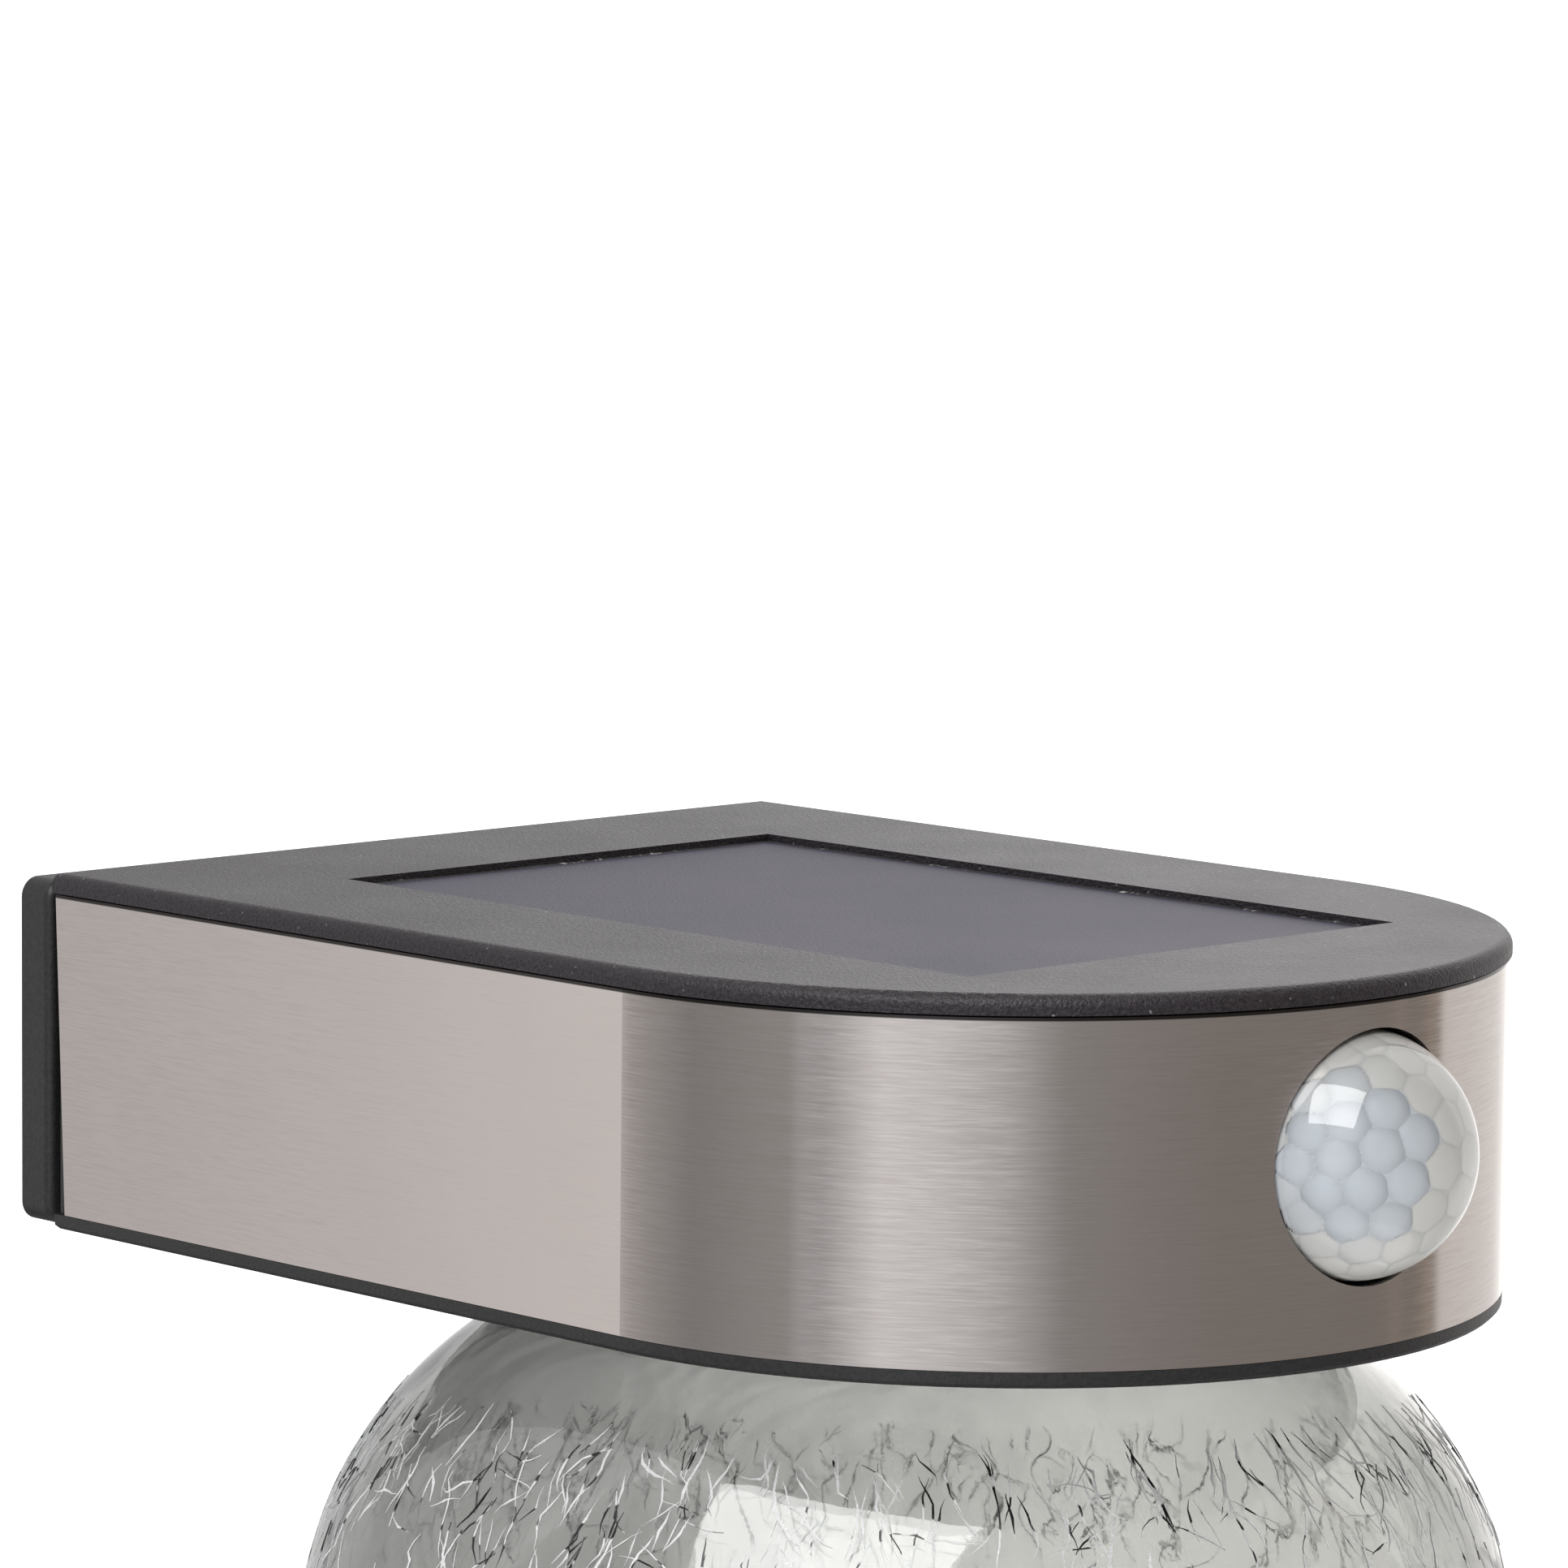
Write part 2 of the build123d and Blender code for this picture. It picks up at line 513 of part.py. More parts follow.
CRADLE_HALF, CRADLE_IN, CRADLE_D, CRADLE_H = 37.6, 36.3, 21.4, 13.0
with BuildPart() as battery_cradle:
    with BuildSketch(Plane.XY.offset(FLOOR_TOP + 0.05)):
        with Locations((0, CELL_Y)):
            RectangleRounded(2 * CRADLE_HALF, CRADLE_D, 1.0)
    extrude(amount=CRADLE_H)
    with BuildSketch(Plane.YZ.offset(-CRADLE_IN)):
        with Locations((CELL_Y, CELL_Z)):
            Circle(CELL_R + 0.2)
            with Locations((0, 6)):
                Rectangle(2 * CELL_R + 0.4, 12)
    extrude(amount=2 * CRADLE_IN, mode=Mode.SUBTRACT)
save(battery_cradle.part, "battery_cradle")

LEAF_X, LEAF_T, LEAF_TIP = CRADLE_IN - 0.1, 0.4, 32.7     # sprung leaf at each end of the cell
with BuildPart() as battery_contacts:
    for side in (-1, 1):
        with BuildSketch(Plane.XZ.offset(-CELL_Y - 3)):
            with BuildLine():
                Polyline(
                    (side * LEAF_X, CELL_Z - 6),
                    (side * LEAF_X, CELL_Z + 9),
                    (side * (LEAF_X - LEAF_T), CELL_Z + 9),
                    (side * (LEAF_X - LEAF_T), CELL_Z + 4),
                    (side * LEAF_TIP, CELL_Z),
                    (side * (LEAF_X - LEAF_T), CELL_Z - 4),
                    (side * (LEAF_X - LEAF_T), CELL_Z - 6),
                    close=True,
                )
            make_face()
            with BuildLine():
                Polyline(
                    (side * (LEAF_X - LEAF_T), CELL_Z + 3.4),
                    (side * (LEAF_TIP + 0.5), CELL_Z),
                    (side * (LEAF_X - LEAF_T), CELL_Z - 3.4),
                    close=True,
                )
            make_face(mode=Mode.SUBTRACT)
        extrude(amount=6)
save(battery_contacts.part, "battery_contacts")

# ---------------------------------------------------------------- slide switch on the underside
KNOB_X = -SWITCH_TRAVEL / 2
SWITCH_H = 5.0
STEM_FOOT = HEAD_BOTTOM + 2.2
with BuildPart() as switch_body:
    with Locations((0, SWITCH_Y, FLOOR_TOP + 0.05)):
        Box(14, 6.4, SWITCH_H, align=BASE)
        Box(SWITCH_TRAVEL + STEM_W + 2 * GAP, STEM_D + 2 * GAP, 2.8, align=BASE, mode=Mode.SUBTRACT)
save(switch_body.part, "switch_body")

with BuildPart() as switch_knob:
    with BuildSketch(Plane.XY.offset(HEAD_BOTTOM - KNOB_DROP)):
        with Locations((KNOB_X, SWITCH_Y)):
            Rectangle(KNOB_W, KNOB_D)
    extrude(amount=STEM_FOOT - HEAD_BOTTOM + KNOB_DROP)
    with BuildSketch(Plane.XY.offset(STEM_FOOT)):
        with Locations((KNOB_X, SWITCH_Y)):
            Rectangle(STEM_W, STEM_D)
    extrude(amount=2.5)
    with BuildSketch(Plane.XY.offset(HEAD_BOTTOM - KNOB_DROP)):
        with Locations((KNOB_X, SWITCH_Y)):
            with GridLocations(1.3, 0, 3, 1):
                Rectangle(0.5, KNOB_D)
    extrude(amount=0.5, mode=Mode.SUBTRACT)
save(switch_knob.part, "switch_knob")

# ---------------------------------------------------------------- light source in the neck
CARRIER_LOW = -12.0
CUP_OUT, CUP_IN = 20.5, 18.9              # radii of the cup that hangs into the neck
DIFFUSER_R, DIFFUSER_LOW, DIFFUSER_T = 48.0, -19.2, 1.4
LED_BOARD_T = 1.2
CARRIER_T = 1.6
with BuildPart() as led_carrier:
    with BuildSketch(socket_plane(SKIRT_TOP)):
        Circle(SKIRT_OUT)
        with PolarLocations(CARRIER_SCREW_R, CARRIER_SCREWS, start_angle=30):
            Circle(2.8)
        with PolarLocations(CARRIER_SCREW_R, CARRIER_SCREWS, start_angle=30):
            Circle(POST_PILOT_R + 0.1, mode=Mode.SUBTRACT)
        Circle(CUP_IN, mode=Mode.SUBTRACT)
    extrude(amount=CARRIER_T)
    with BuildSketch(socket_plane(CARRIER_LOW)):
        Circle(CUP_OUT)
        Circle(CUP_IN, mode=Mode.SUBTRACT)
    extrude(amount=SKIRT_TOP + CARRIER_T - CARRIER_LOW)
    with BuildSketch(socket_plane(CARRIER_LOW)):
        Circle(CUP_IN + 0.3)
        Circle(3.0, mode=Mode.SUBTRACT)
    extrude(amount=1.4)
save(led_carrier.part, "led_carrier")

with BuildPart() as led_board:
    with BuildSketch(socket_plane(CARRIER_LOW - LED_BOARD_T)):
        Circle(17.0)
        Circle(1.8, mode=Mode.SUBTRACT)
    extrude(amount=LED_BOARD_T)
save(led_board.part, "led_board")

with BuildPart() as led_chips:
    with BuildSketch(socket_plane(CARRIER_LOW - LED_BOARD_T)):
        with PolarLocations(9.0, 6):
            RectangleRounded(3.5, 2.8, 0.3)
    extrude(amount=-0.9)
save(led_chips.part, "led_chips")

with BuildPart() as led_lens:
    with BuildSketch(Plane(origin=(0, GLOBE_Y, 0), x_dir=(1, 0, 0), z_dir=(0, -1, 0))):
        with BuildLine():
            middle = (0, DIFFUSER_LOW + DIFFUSER_R)
            inner_r = DIFFUSER_R - DIFFUSER_T
            outer = CenterArc(middle, DIFFUSER_R, -90, degrees(asin(CUP_OUT / DIFFUSER_R)))
            inner = CenterArc(middle, inner_r, -90, degrees(asin(CUP_IN / inner_r)))
            Polyline(outer @ 1, (CUP_OUT, CARRIER_LOW), (CUP_IN, CARRIER_LOW), inner @ 1)
            Line(outer @ 0, inner @ 0)
        make_face()
    revolve(axis=Axis((0, GLOBE_Y, 0), (0, 0, 1)))
save(led_lens.part, "led_lens")

with BuildPart() as carrier_screws:
    with BuildSketch(socket_plane(SKIRT_TOP - 5)):
        with PolarLocations(CARRIER_SCREW_R, CARRIER_SCREWS, start_angle=30):
            Circle(SMALL_SCREW_R)
    extrude(amount=CARRIER_T + 5)
    with BuildSketch(socket_plane(SKIRT_TOP + CARRIER_T)):
        with PolarLocations(CARRIER_SCREW_R, CARRIER_SCREWS, start_angle=30):
            Circle(SMALL_HEAD_R)
    extrude(amount=SMALL_HEAD_H)
save(carrier_screws.part, "carrier_screws")

with BuildPart() as socket_gasket:
    with BuildSketch(socket_plane(HEAD_BOTTOM + 0.05)):
        Circle(GROOVE_OUT - 0.1)
        Circle(GROOVE_IN + 0.1, mode=Mode.SUBTRACT)
    extrude(amount=GROOVE_DEEP - 0.1)
save(socket_gasket.part, "socket_gasket")

# ---------------------------------------------------------------- globe
lean = degrees(asin((SHOULDER_TOP - CROWN_R - GLOBE_MID) / (SHOULDER_R - CROWN_R)))
crown_x = SHOULDER_AXIS + (SHOULDER_R - CROWN_R) * cos(radians(lean))
crown_z = GLOBE_MID + (SHOULDER_R - CROWN_R) * sin(radians(lean))
with BuildPart() as glass_globe:
    with BuildSketch(Plane(origin=(0, GLOBE_Y, 0), x_dir=(1, 0, 0), z_dir=(0, -1, 0))):
        with BuildLine():
            for skin in (0, GLASS_WALL):
                CenterArc((0, GLOBE_MID), GLOBE_R - skin, -90, 90)
                CenterArc((SHOULDER_AXIS, GLOBE_MID), SHOULDER_R - skin, 0, lean)
                CenterArc((crown_x, crown_z), CROWN_R - skin, lean, 90 - lean)
                Polyline(
                    (crown_x, SHOULDER_TOP - skin),
                    (NECK_R - skin, SHOULDER_TOP - skin),
                    (NECK_R - skin, NECK_TOP),
                )
            Line((NECK_R, NECK_TOP), (NECK_R - GLASS_WALL, NECK_TOP))
            Line((0, GLOBE_MID - GLOBE_R), (0, GLOBE_MID - GLOBE_R + GLASS_WALL))
        make_face()
    revolve(axis=Axis((0, GLOBE_Y, 0), (0, 0, 1)))
save(glass_globe.part, "glass_globe")

COLLAR_R, COLLAR_NECK_R = 33.2, 26.2
GLUE_T, GLUE_H = 0.24, 8.6
with BuildPart() as globe_collar:
    with BuildSketch(socket_plane(SHOULDER_TOP + 0.1)):
        Circle(COLLAR_R)
        Circle(NECK_R + 0.3, mode=Mode.SUBTRACT)
    extrude(amount=HEAD_BOTTOM - GAP - SHOULDER_TOP - 0.1)
    with BuildSketch(socket_plane(HEAD_BOTTOM - GAP)):
        Circle(COLLAR_NECK_R)
        Circle(NECK_R + 0.3, mode=Mode.SUBTRACT)
    extrude(amount=NECK_TOP - 0.5 - HEAD_BOTTOM + GAP)
    with BuildSketch(socket_plane(LUG_LOW)):
        for lug in range(LUGS):
            ring_sector(25.5, LUG_OUT, lug * 360 / LUGS, LUG_DEG)
    extrude(amount=LUG_TOP - LUG_LOW)
save(globe_collar.part, "globe_collar")

with BuildPart() as collar_adhesive:
    with BuildSketch(socket_plane(SHOULDER_TOP + 0.4)):
        Circle(NECK_R + 0.03 + GLUE_T)
        Circle(NECK_R + 0.03, mode=Mode.SUBTRACT)
    extrude(amount=GLUE_H)
save(collar_adhesive.part, "collar_adhesive")

# ---------------------------------------------------------------- wires
solar_route = [(0, -98, 15.2), (0, -98, 12.0), (0, -90, 10.5), (0, -84, 10.5), (0, -84, BOARD_TOP)]
save(lead_pair(solar_route, 3.0), "solar_leads")

battery_route = [
    (0, CELL_Y, CELL_Z + 9.1),
    (0, CELL_Y, 9.5),
    (0, CELL_Y - 6, 11.0),
    (0, -59, 11.0),
    (0, -59, BOARD_TOP),
]
save(lead_pair(battery_route, 72.0), "battery_leads")

led_route = [(0, GLOBE_Y, CARRIER_LOW), (0, GLOBE_Y, -2), (4, GLOBE_Y, 2), (4, GLOBE_Y, BOARD_LOW)]
save(lead_pair(led_route, 2.4), "led_leads")

pir_route = [
    (8, PIR_BOARD_Y + 1.2, -4),
    (8, -120, -4),
    (8, -106, 10.5),
    (8, -97, 10.5),
    (8, -97, BOARD_TOP),
]
save(lead_pair(pir_route, 2.4), "pir_leads")

switch_route = [
    (-4, SWITCH_Y, FLOOR_TOP + SWITCH_H + 0.05),
    (-4, SWITCH_Y, 7.5),
    (-4, -24, 11.0),
    (-4, -60, 11.0),
    (-4, -60, BOARD_TOP),
]
save(lead_pair(switch_route, 2.4), "switch_leads")
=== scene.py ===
import math

import bmesh
import bpy
import numpy as np
from mathutils import Matrix, Vector


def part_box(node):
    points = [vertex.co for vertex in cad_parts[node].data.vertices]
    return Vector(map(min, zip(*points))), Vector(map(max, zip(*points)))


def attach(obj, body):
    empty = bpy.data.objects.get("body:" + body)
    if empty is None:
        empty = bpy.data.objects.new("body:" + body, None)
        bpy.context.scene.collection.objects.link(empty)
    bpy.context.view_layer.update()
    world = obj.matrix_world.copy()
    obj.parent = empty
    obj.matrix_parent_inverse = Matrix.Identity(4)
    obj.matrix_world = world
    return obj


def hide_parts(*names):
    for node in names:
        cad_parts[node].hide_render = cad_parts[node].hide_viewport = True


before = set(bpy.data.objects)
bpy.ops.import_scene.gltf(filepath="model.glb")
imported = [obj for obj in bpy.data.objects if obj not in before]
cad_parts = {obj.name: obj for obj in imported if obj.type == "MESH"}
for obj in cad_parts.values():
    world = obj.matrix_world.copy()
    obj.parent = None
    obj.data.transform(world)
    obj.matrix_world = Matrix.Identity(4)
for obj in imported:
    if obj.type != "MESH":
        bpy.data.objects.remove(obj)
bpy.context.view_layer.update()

MM = 0.001

# ---------------------------------------------------------------- places from the frame
BAND_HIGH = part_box("steel_band")[1]
GLOBE_LOW, GLOBE_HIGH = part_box("glass_globe")
COLLAR_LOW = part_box("globe_collar")[0]
LENS_LOW, LENS_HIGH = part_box("pir_lens")
PANEL_LOW, PANEL_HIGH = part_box("solar_glass")

# the seam between the steel band and the cover's lip, and a painted shadow under the lip: the band darkens
# between these two heights
JOINT_Z = BAND_HIGH.z + 0.2 * MM
LIP_SHADOW_FROM, LIP_SHADOW_TO = JOINT_Z - 0.56 * MM, JOINT_Z - 0.46 * MM

# the panel's glued edge, each out from the panel's side or up from its top
BEAD_OUT, BEAD_IN, BEAD_SUNK, BEAD_RISE = 0.33 * MM, 0.25 * MM, 0.30 * MM, 0.16 * MM
BEAD_OUT_RISE, BEAD_TOE_UP, BEAD_FOOT_OUT = 1.3, 0.01 * MM, 0.03 * MM
BEAD_STEP, BEAD_SWELL_STEPS = 0.45 * MM, 9

# the sensor's dome and the flange behind it: FRONT, BACK, CORNER and FOOT are places along Y
LENS_R = 11.8 * MM
LENS_WALL_MM = 0.8
FLANGE_R_MM, FLANGE_FRONT_MM, FLANGE_BACK_MM = 13.4, -131.4, -130.4
FLANGE_CORNER_MM, DOME_FOOT_MM = -131.45, -136.5
DOME_RINGS, DOME_INNER_RINGS, DOME_STEPS = 96, 24, 288
DOME_WELD = 0.002 * MM

# the dome's facets: a grid of six-sided cells with light painted into their colour: bluish see-through light
# near the field direction below, and a painted creamy warm light that grows the further they lie from it
FACET_DEPTH, FACET_FLATTEN = 0.04, 0.53
FACET_STEP = math.radians(20.5)
FACET_ROWS, FACET_REACH, FACET_NUDGE = 6, math.radians(112), 0.05
GRID_TURN = math.radians(11)
SEAM_DEG, FACET_FADE_DEG = 2.6, 10
PAINTED_COOL_FIELD = (-0.74, -0.67, 0.08)
WARM_PAINT_FROM_DEG, WARM_PAINT_OVER_DEG, WARM_PAINT_MOTTLE = 33, 14, 0.12

# the globe: a neck, a crown curving out of it, a shoulder and a round bowl
GLOBE_R = (GLOBE_HIGH.x - GLOBE_LOW.x) / 2
GLOBE_Y = (GLOBE_HIGH.y + GLOBE_LOW.y) / 2
GLOBE_MID = GLOBE_LOW.z + GLOBE_R
GLASS_WALL = 2.0 * MM
NECK_R = 24.0 * MM
NECK_EDGE_DROP, NECK_EDGE_IN = 0.5 * MM, 0.4 * MM
SHOULDER_TOP = COLLAR_LOW.z - 0.1 * MM
SHOULDER_AXIS, SHOULDER_R, CROWN_R = 20.3 * MM, 39.9 * MM, 24.0 * MM
LEAN = math.asin((SHOULDER_TOP - CROWN_R - GLOBE_MID) / (SHOULDER_R - CROWN_R))
CROWN_X = SHOULDER_AXIS + (SHOULDER_R - CROWN_R) * math.cos(LEAN)
CROWN_Z = GLOBE_MID + (SHOULDER_R - CROWN_R) * math.sin(LEAN)
TIP_R = 0.02 * MM
CROWN_POINTS, SHOULDER_POINTS, BOWL_POINTS, GLOBE_STEPS = 12, 40, 72, 220

# the cracks, lengths along the glass and headings in radians off straight down
CLEAR_SIDE = math.radians(45)
CRACK_TOP_MM, CLEAR_EXTRA_MM = 16.5, 20.0
CRACK_STEP, CRACK_CELL, BOTTOM_CLEAR = 1.1 * MM, 1.1 * MM, 2.0 * MM
CRACK_WANDER, CRACK_STEADY, KINK_CHANCE, KINK = 0.22, 0.16, 0.06, 0.7
BRANCH_CHANCE, BRANCH_DEPTH, BRANCH_TURN, BRANCH_SHARE = 0.09, 3, (0.45, 1.1), (0.3, 0.8)
TOP_CRACKS, TOP_SPREAD_MM, TOP_HEADING, TOP_LENGTH_MM = 560, 8, 0.26, (3, 12)
OTHER_CRACKS, OTHER_HEADING, OTHER_LENGTH_MM = 820, 0.6, (3, 14)
CRACK_LEAST_POINTS = 3
FIN_HALF_MM, FIN_KEEL_MM, FIN_RISE_MM = (0.07, 0.15), (0.10, 0.35), (0.02, 0.09)
FIN_TIP, FIN_UNEVEN = 0.15, (0.65, 1.25)

# the studio, in metres
FLOOR_Z, FLOOR_HALF = -0.165, 6
MIDDLE_Y, LAMP_AIM_Z = -0.08, -0.02
WALL_STEPS, WALL_DARK_Z, WALL_FULL_Z = 72, -1.7, -0.7

# where a noise texture's values mostly lie
NOISE_LOW, NOISE_HIGH = 0.3, 0.7


# ---------------------------------------------------------------- mesh helpers
def add_mesh(name, verts, faces, material, body, smooth=True):
    """A new piece from points and faces, with one material, riding on a body."""
    mesh = bpy.data.meshes.new(name)
    mesh.from_pydata([tuple(v) for v in verts], [], faces)
    shell = bmesh.new()
    shell.from_mesh(mesh)
    bmesh.ops.recalc_face_normals(shell, faces=shell.faces)
    shell.to_mesh(mesh)
    shell.free()
    mesh.update()
    piece = bpy.data.objects.new(name, mesh)
    bpy.context.scene.collection.objects.link(piece)
    mesh.materials.append(material)
    for polygon in mesh.polygons:
        polygon.use_smooth = smooth
    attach(piece, body)
    return piece


def revolve(profile, centre, steps):
    """Points and faces of a closed profile of (radius, height) turned about a vertical axis."""
    verts, faces, count = [], [], len(profile)
    for step in range(steps):
        turn = 2 * math.pi * step / steps
        for radius, height in profile:
            verts.append((centre[0] + radius * math.cos(turn), centre[1] + radius * math.sin(turn), height))
    for step in range(steps):
        after = (step + 1) % steps
        for k in range(count):
            nxt = (k + 1) % count
            faces.append((step * count + k, after * count + k, after * count + nxt, step * count + nxt))
    return verts, faces


# ---------------------------------------------------------------- material helpers
class Look:
    """A procedural material: one Principled shader and the nodes that feed it.
    A keyword sets the shader's socket of that name."""

    def __init__(self, name, **sockets):
        self.material = bpy.data.materials.new(name)
        self.material.use_nodes = True
        self.tree = self.material.node_tree
        self.shader = self.tree.nodes["Principled BSDF"]
        for socket, value in sockets.items():
            self.shader.inputs[socket.replace("_", " ")].default_value = value
        self.place = self.tree.nodes.new("ShaderNodeTexCoord").outputs["Object"]

    def node(self, kind, inputs=None, **settings):
        """A new node, with values or other nodes' outputs on its inputs."""
        made = self.tree.nodes.new("ShaderNode" + kind)
        for key, value in settings.items():
            setattr(made, key, value)
        for key, value in (inputs or {}).items():
            if isinstance(value, bpy.types.NodeSocket):
                self.tree.links.new(value, made.inputs[key])
            else:
                made.inputs[key].default_value = value
        return made

    def stretched(self, x, y, z):
        """The object's own coordinates, scaled along each axis."""
        return self.node("Mapping", {"Vector": self.place, "Scale": (x, y, z)}).outputs["Vector"]

    def noise(self, scale, detail, rough=0.55, where=None, warp=0.0):
        """A noise texture in the object's own coordinates, or in others."""
        made = self.node("TexNoise", {"Vector": where or self.place, "Scale": scale, "Detail": detail,
                                      "Roughness": rough, "Distortion": warp})
        return made.outputs["Fac"]

    def between(self, value, low, high, out_low, out_high):
        """One range of values mapped to another, cut off at both ends."""
        made = self.node("MapRange", {"Value": value, "From Min": low, "From Max": high,
                                      "To Min": out_low, "To Max": out_high})
        return made.outputs["Result"]

    def spread(self, noise, out_low, out_high):
        """A noise's usual range, stretched over the range asked for."""
        return self.between(noise, NOISE_LOW, NOISE_HIGH, out_low, out_high)

    def math(self, operation, a, b):
        """Two values combined."""
        return self.node("Math", {0: a, 1: b}, operation=operation).outputs[0]

    def mix(self, factor, a, b):
        """Colour a blended into colour b."""
        made = self.node("Mix", data_type="RGBA")
        for index, value in ((0, factor), (6, a), (7, b)):
            if isinstance(value, bpy.types.NodeSocket):
                self.tree.links.new(value, made.inputs[index])
            else:
                made.inputs[index].default_value = value if index == 0 else (*value, 1.0)
        return made.outputs[2]

    def link(self, output, socket):
        """Feeds an output to one of the shader's sockets."""
        self.tree.links.new(output, self.shader.inputs[socket])

    def bump(self, height, strength, distance, under=None):
        """A normal bumped by a height, over another bump if one is given."""
        inputs = {"Height": height, "Strength": strength, "Distance": distance}
        if under is not None:
            inputs["Normal"] = under
        return self.node("Bump", inputs).outputs["Normal"]

    def done(self, normal):
        """The finished material, with its bumped normal."""
        self.link(normal, "Normal")
        return self.material


def moulded(name, dark, light, rough, grain_size, grain_depth, specks=0.0, **sockets):
    """Moulded plastic with a fine spark-eroded grain, cloudy gloss and, if asked, a little dust."""
    look = Look(name, **sockets)
    cloud = look.noise(60, 3)
    grain = look.noise(1 / grain_size, 2, 0.6)
    colour = look.mix(look.between(grain, 0.35, 0.65, 0, 1), dark, light)
    if specks:
        dust = look.between(look.noise(1600, 1, 0.4), 0.74, 0.78, 0, specks)
        colour = look.mix(dust, colour, (0.45, 0.45, 0.44))
    look.link(colour, "Base Color")
    look.link(look.spread(cloud, rough - 0.02, rough + 0.03), "Roughness")
    return look.done(look.bump(grain, 1.0, grain_depth))


def plain_metal(name, dark, light, rough):
    """Small plated or bright metal parts with a fine even grain."""
    look = Look(name, Metallic=1.0)
    grain = look.noise(1, 4, 0.6, look.stretched(900, 900, 900))
    look.link(look.mix(grain, dark, light), "Base Color")
    look.link(look.spread(grain, rough - 0.06, rough + 0.08), "Roughness")
    return look.done(look.bump(grain, 0.25, 0.02 * MM))


def brushed_steel():
    """Stainless strip with fine level brushing and faint cloudy marks, with a painted shadow line along its
    top edge where it meets the cover's lip.
    """
    look = Look("brushed_steel", Metallic=1.0, Anisotropic=1.0, Anisotropic_Rotation=0.25)
    long_hair = look.noise(1, 1, 0.6, look.stretched(100, 100, 4200))
    short_hair = look.noise(1, 1, 0.6, look.stretched(330, 330, 9500))
    hair = look.math("ADD", look.math("MULTIPLY", long_hair, 0.45),
                     look.math("MULTIPLY", short_hair, 0.55))
    cloud = look.noise(34, 4, 0.6)
    tone = look.mix(look.between(hair, 0.36, 0.64, 0, 1), (0.55, 0.492, 0.467), (0.65, 0.595, 0.57))
    tone = look.mix(look.between(cloud, 0.40, 0.72, 0.0, 0.25), tone, (0.54, 0.48, 0.445))
    height = look.node("SeparateXYZ", {"Vector": look.place}).outputs["Z"]
    # painted shadow: the band's colour turns near-black above this height, standing in for the shade under
    # the cover's lip
    lip_shadow_mask = look.between(height, LIP_SHADOW_FROM, LIP_SHADOW_TO, 0.0, 0.93)
    tone = look.mix(lip_shadow_mask, tone, (0.012, 0.011, 0.011))
    look.link(tone, "Base Color")
    look.link(look.between(hair, 0.34, 0.66, 0.12, 0.25), "Roughness")
    look.link(look.node("Tangent", direction_type="RADIAL", axis="Z").outputs["Tangent"], "Tangent")
    return look.done(look.bump(hair, 0.10, 0.02 * MM))


def crackle_glass():
    """Smoke-tinted clear blown glass, slightly wavy."""
    look = Look("crackle_glass", Metallic=0.04, IOR=1.5, Transmission_Weight=1.0)
    wave = look.noise(38, 3, 0.5, warp=0.6)
    fine = look.noise(420, 3, 0.6)
    tint = look.mix(look.spread(wave, 0, 1), (0.605, 0.612, 0.593), (0.680, 0.682, 0.667))
    look.link(tint, "Base Color")
    look.link(look.spread(fine, 0.015, 0.05), "Roughness")
    soft = look.bump(wave, 0.35, 1.2 * MM)
    return look.done(look.bump(fine, 0.10, 0.06 * MM, soft))


def crack_faces():
    """The faces of the cracks: mostly white and part see-through, with short dark stretches of painted
    reflection, where a mirror-like crack face would show dark surroundings.
    """
    look = Look("crack_faces", IOR=1.45, Transmission_Weight=0.35)
    flake = look.noise(900, 3, 0.6)
    dark_reflection_noise = look.noise(260, 2, 0.5)
    bright = look.mix(look.spread(flake, 0, 1), (0.86, 0.87, 0.87), (0.99, 0.99, 0.99))
    # painted reflection: short stretches of the cracks are painted near-black, standing in for mirror-like
    # crack faces that show dark surroundings
    dark = look.between(dark_reflection_noise, 0.55, 0.57, 0, 1)
    look.link(look.mix(dark, bright, (0.02, 0.022, 0.022)), "Base Color")
    look.link(look.spread(flake, 0.15, 0.35), "Roughness")
    return look.done(look.bump(flake, 0.5, 0.08 * MM))


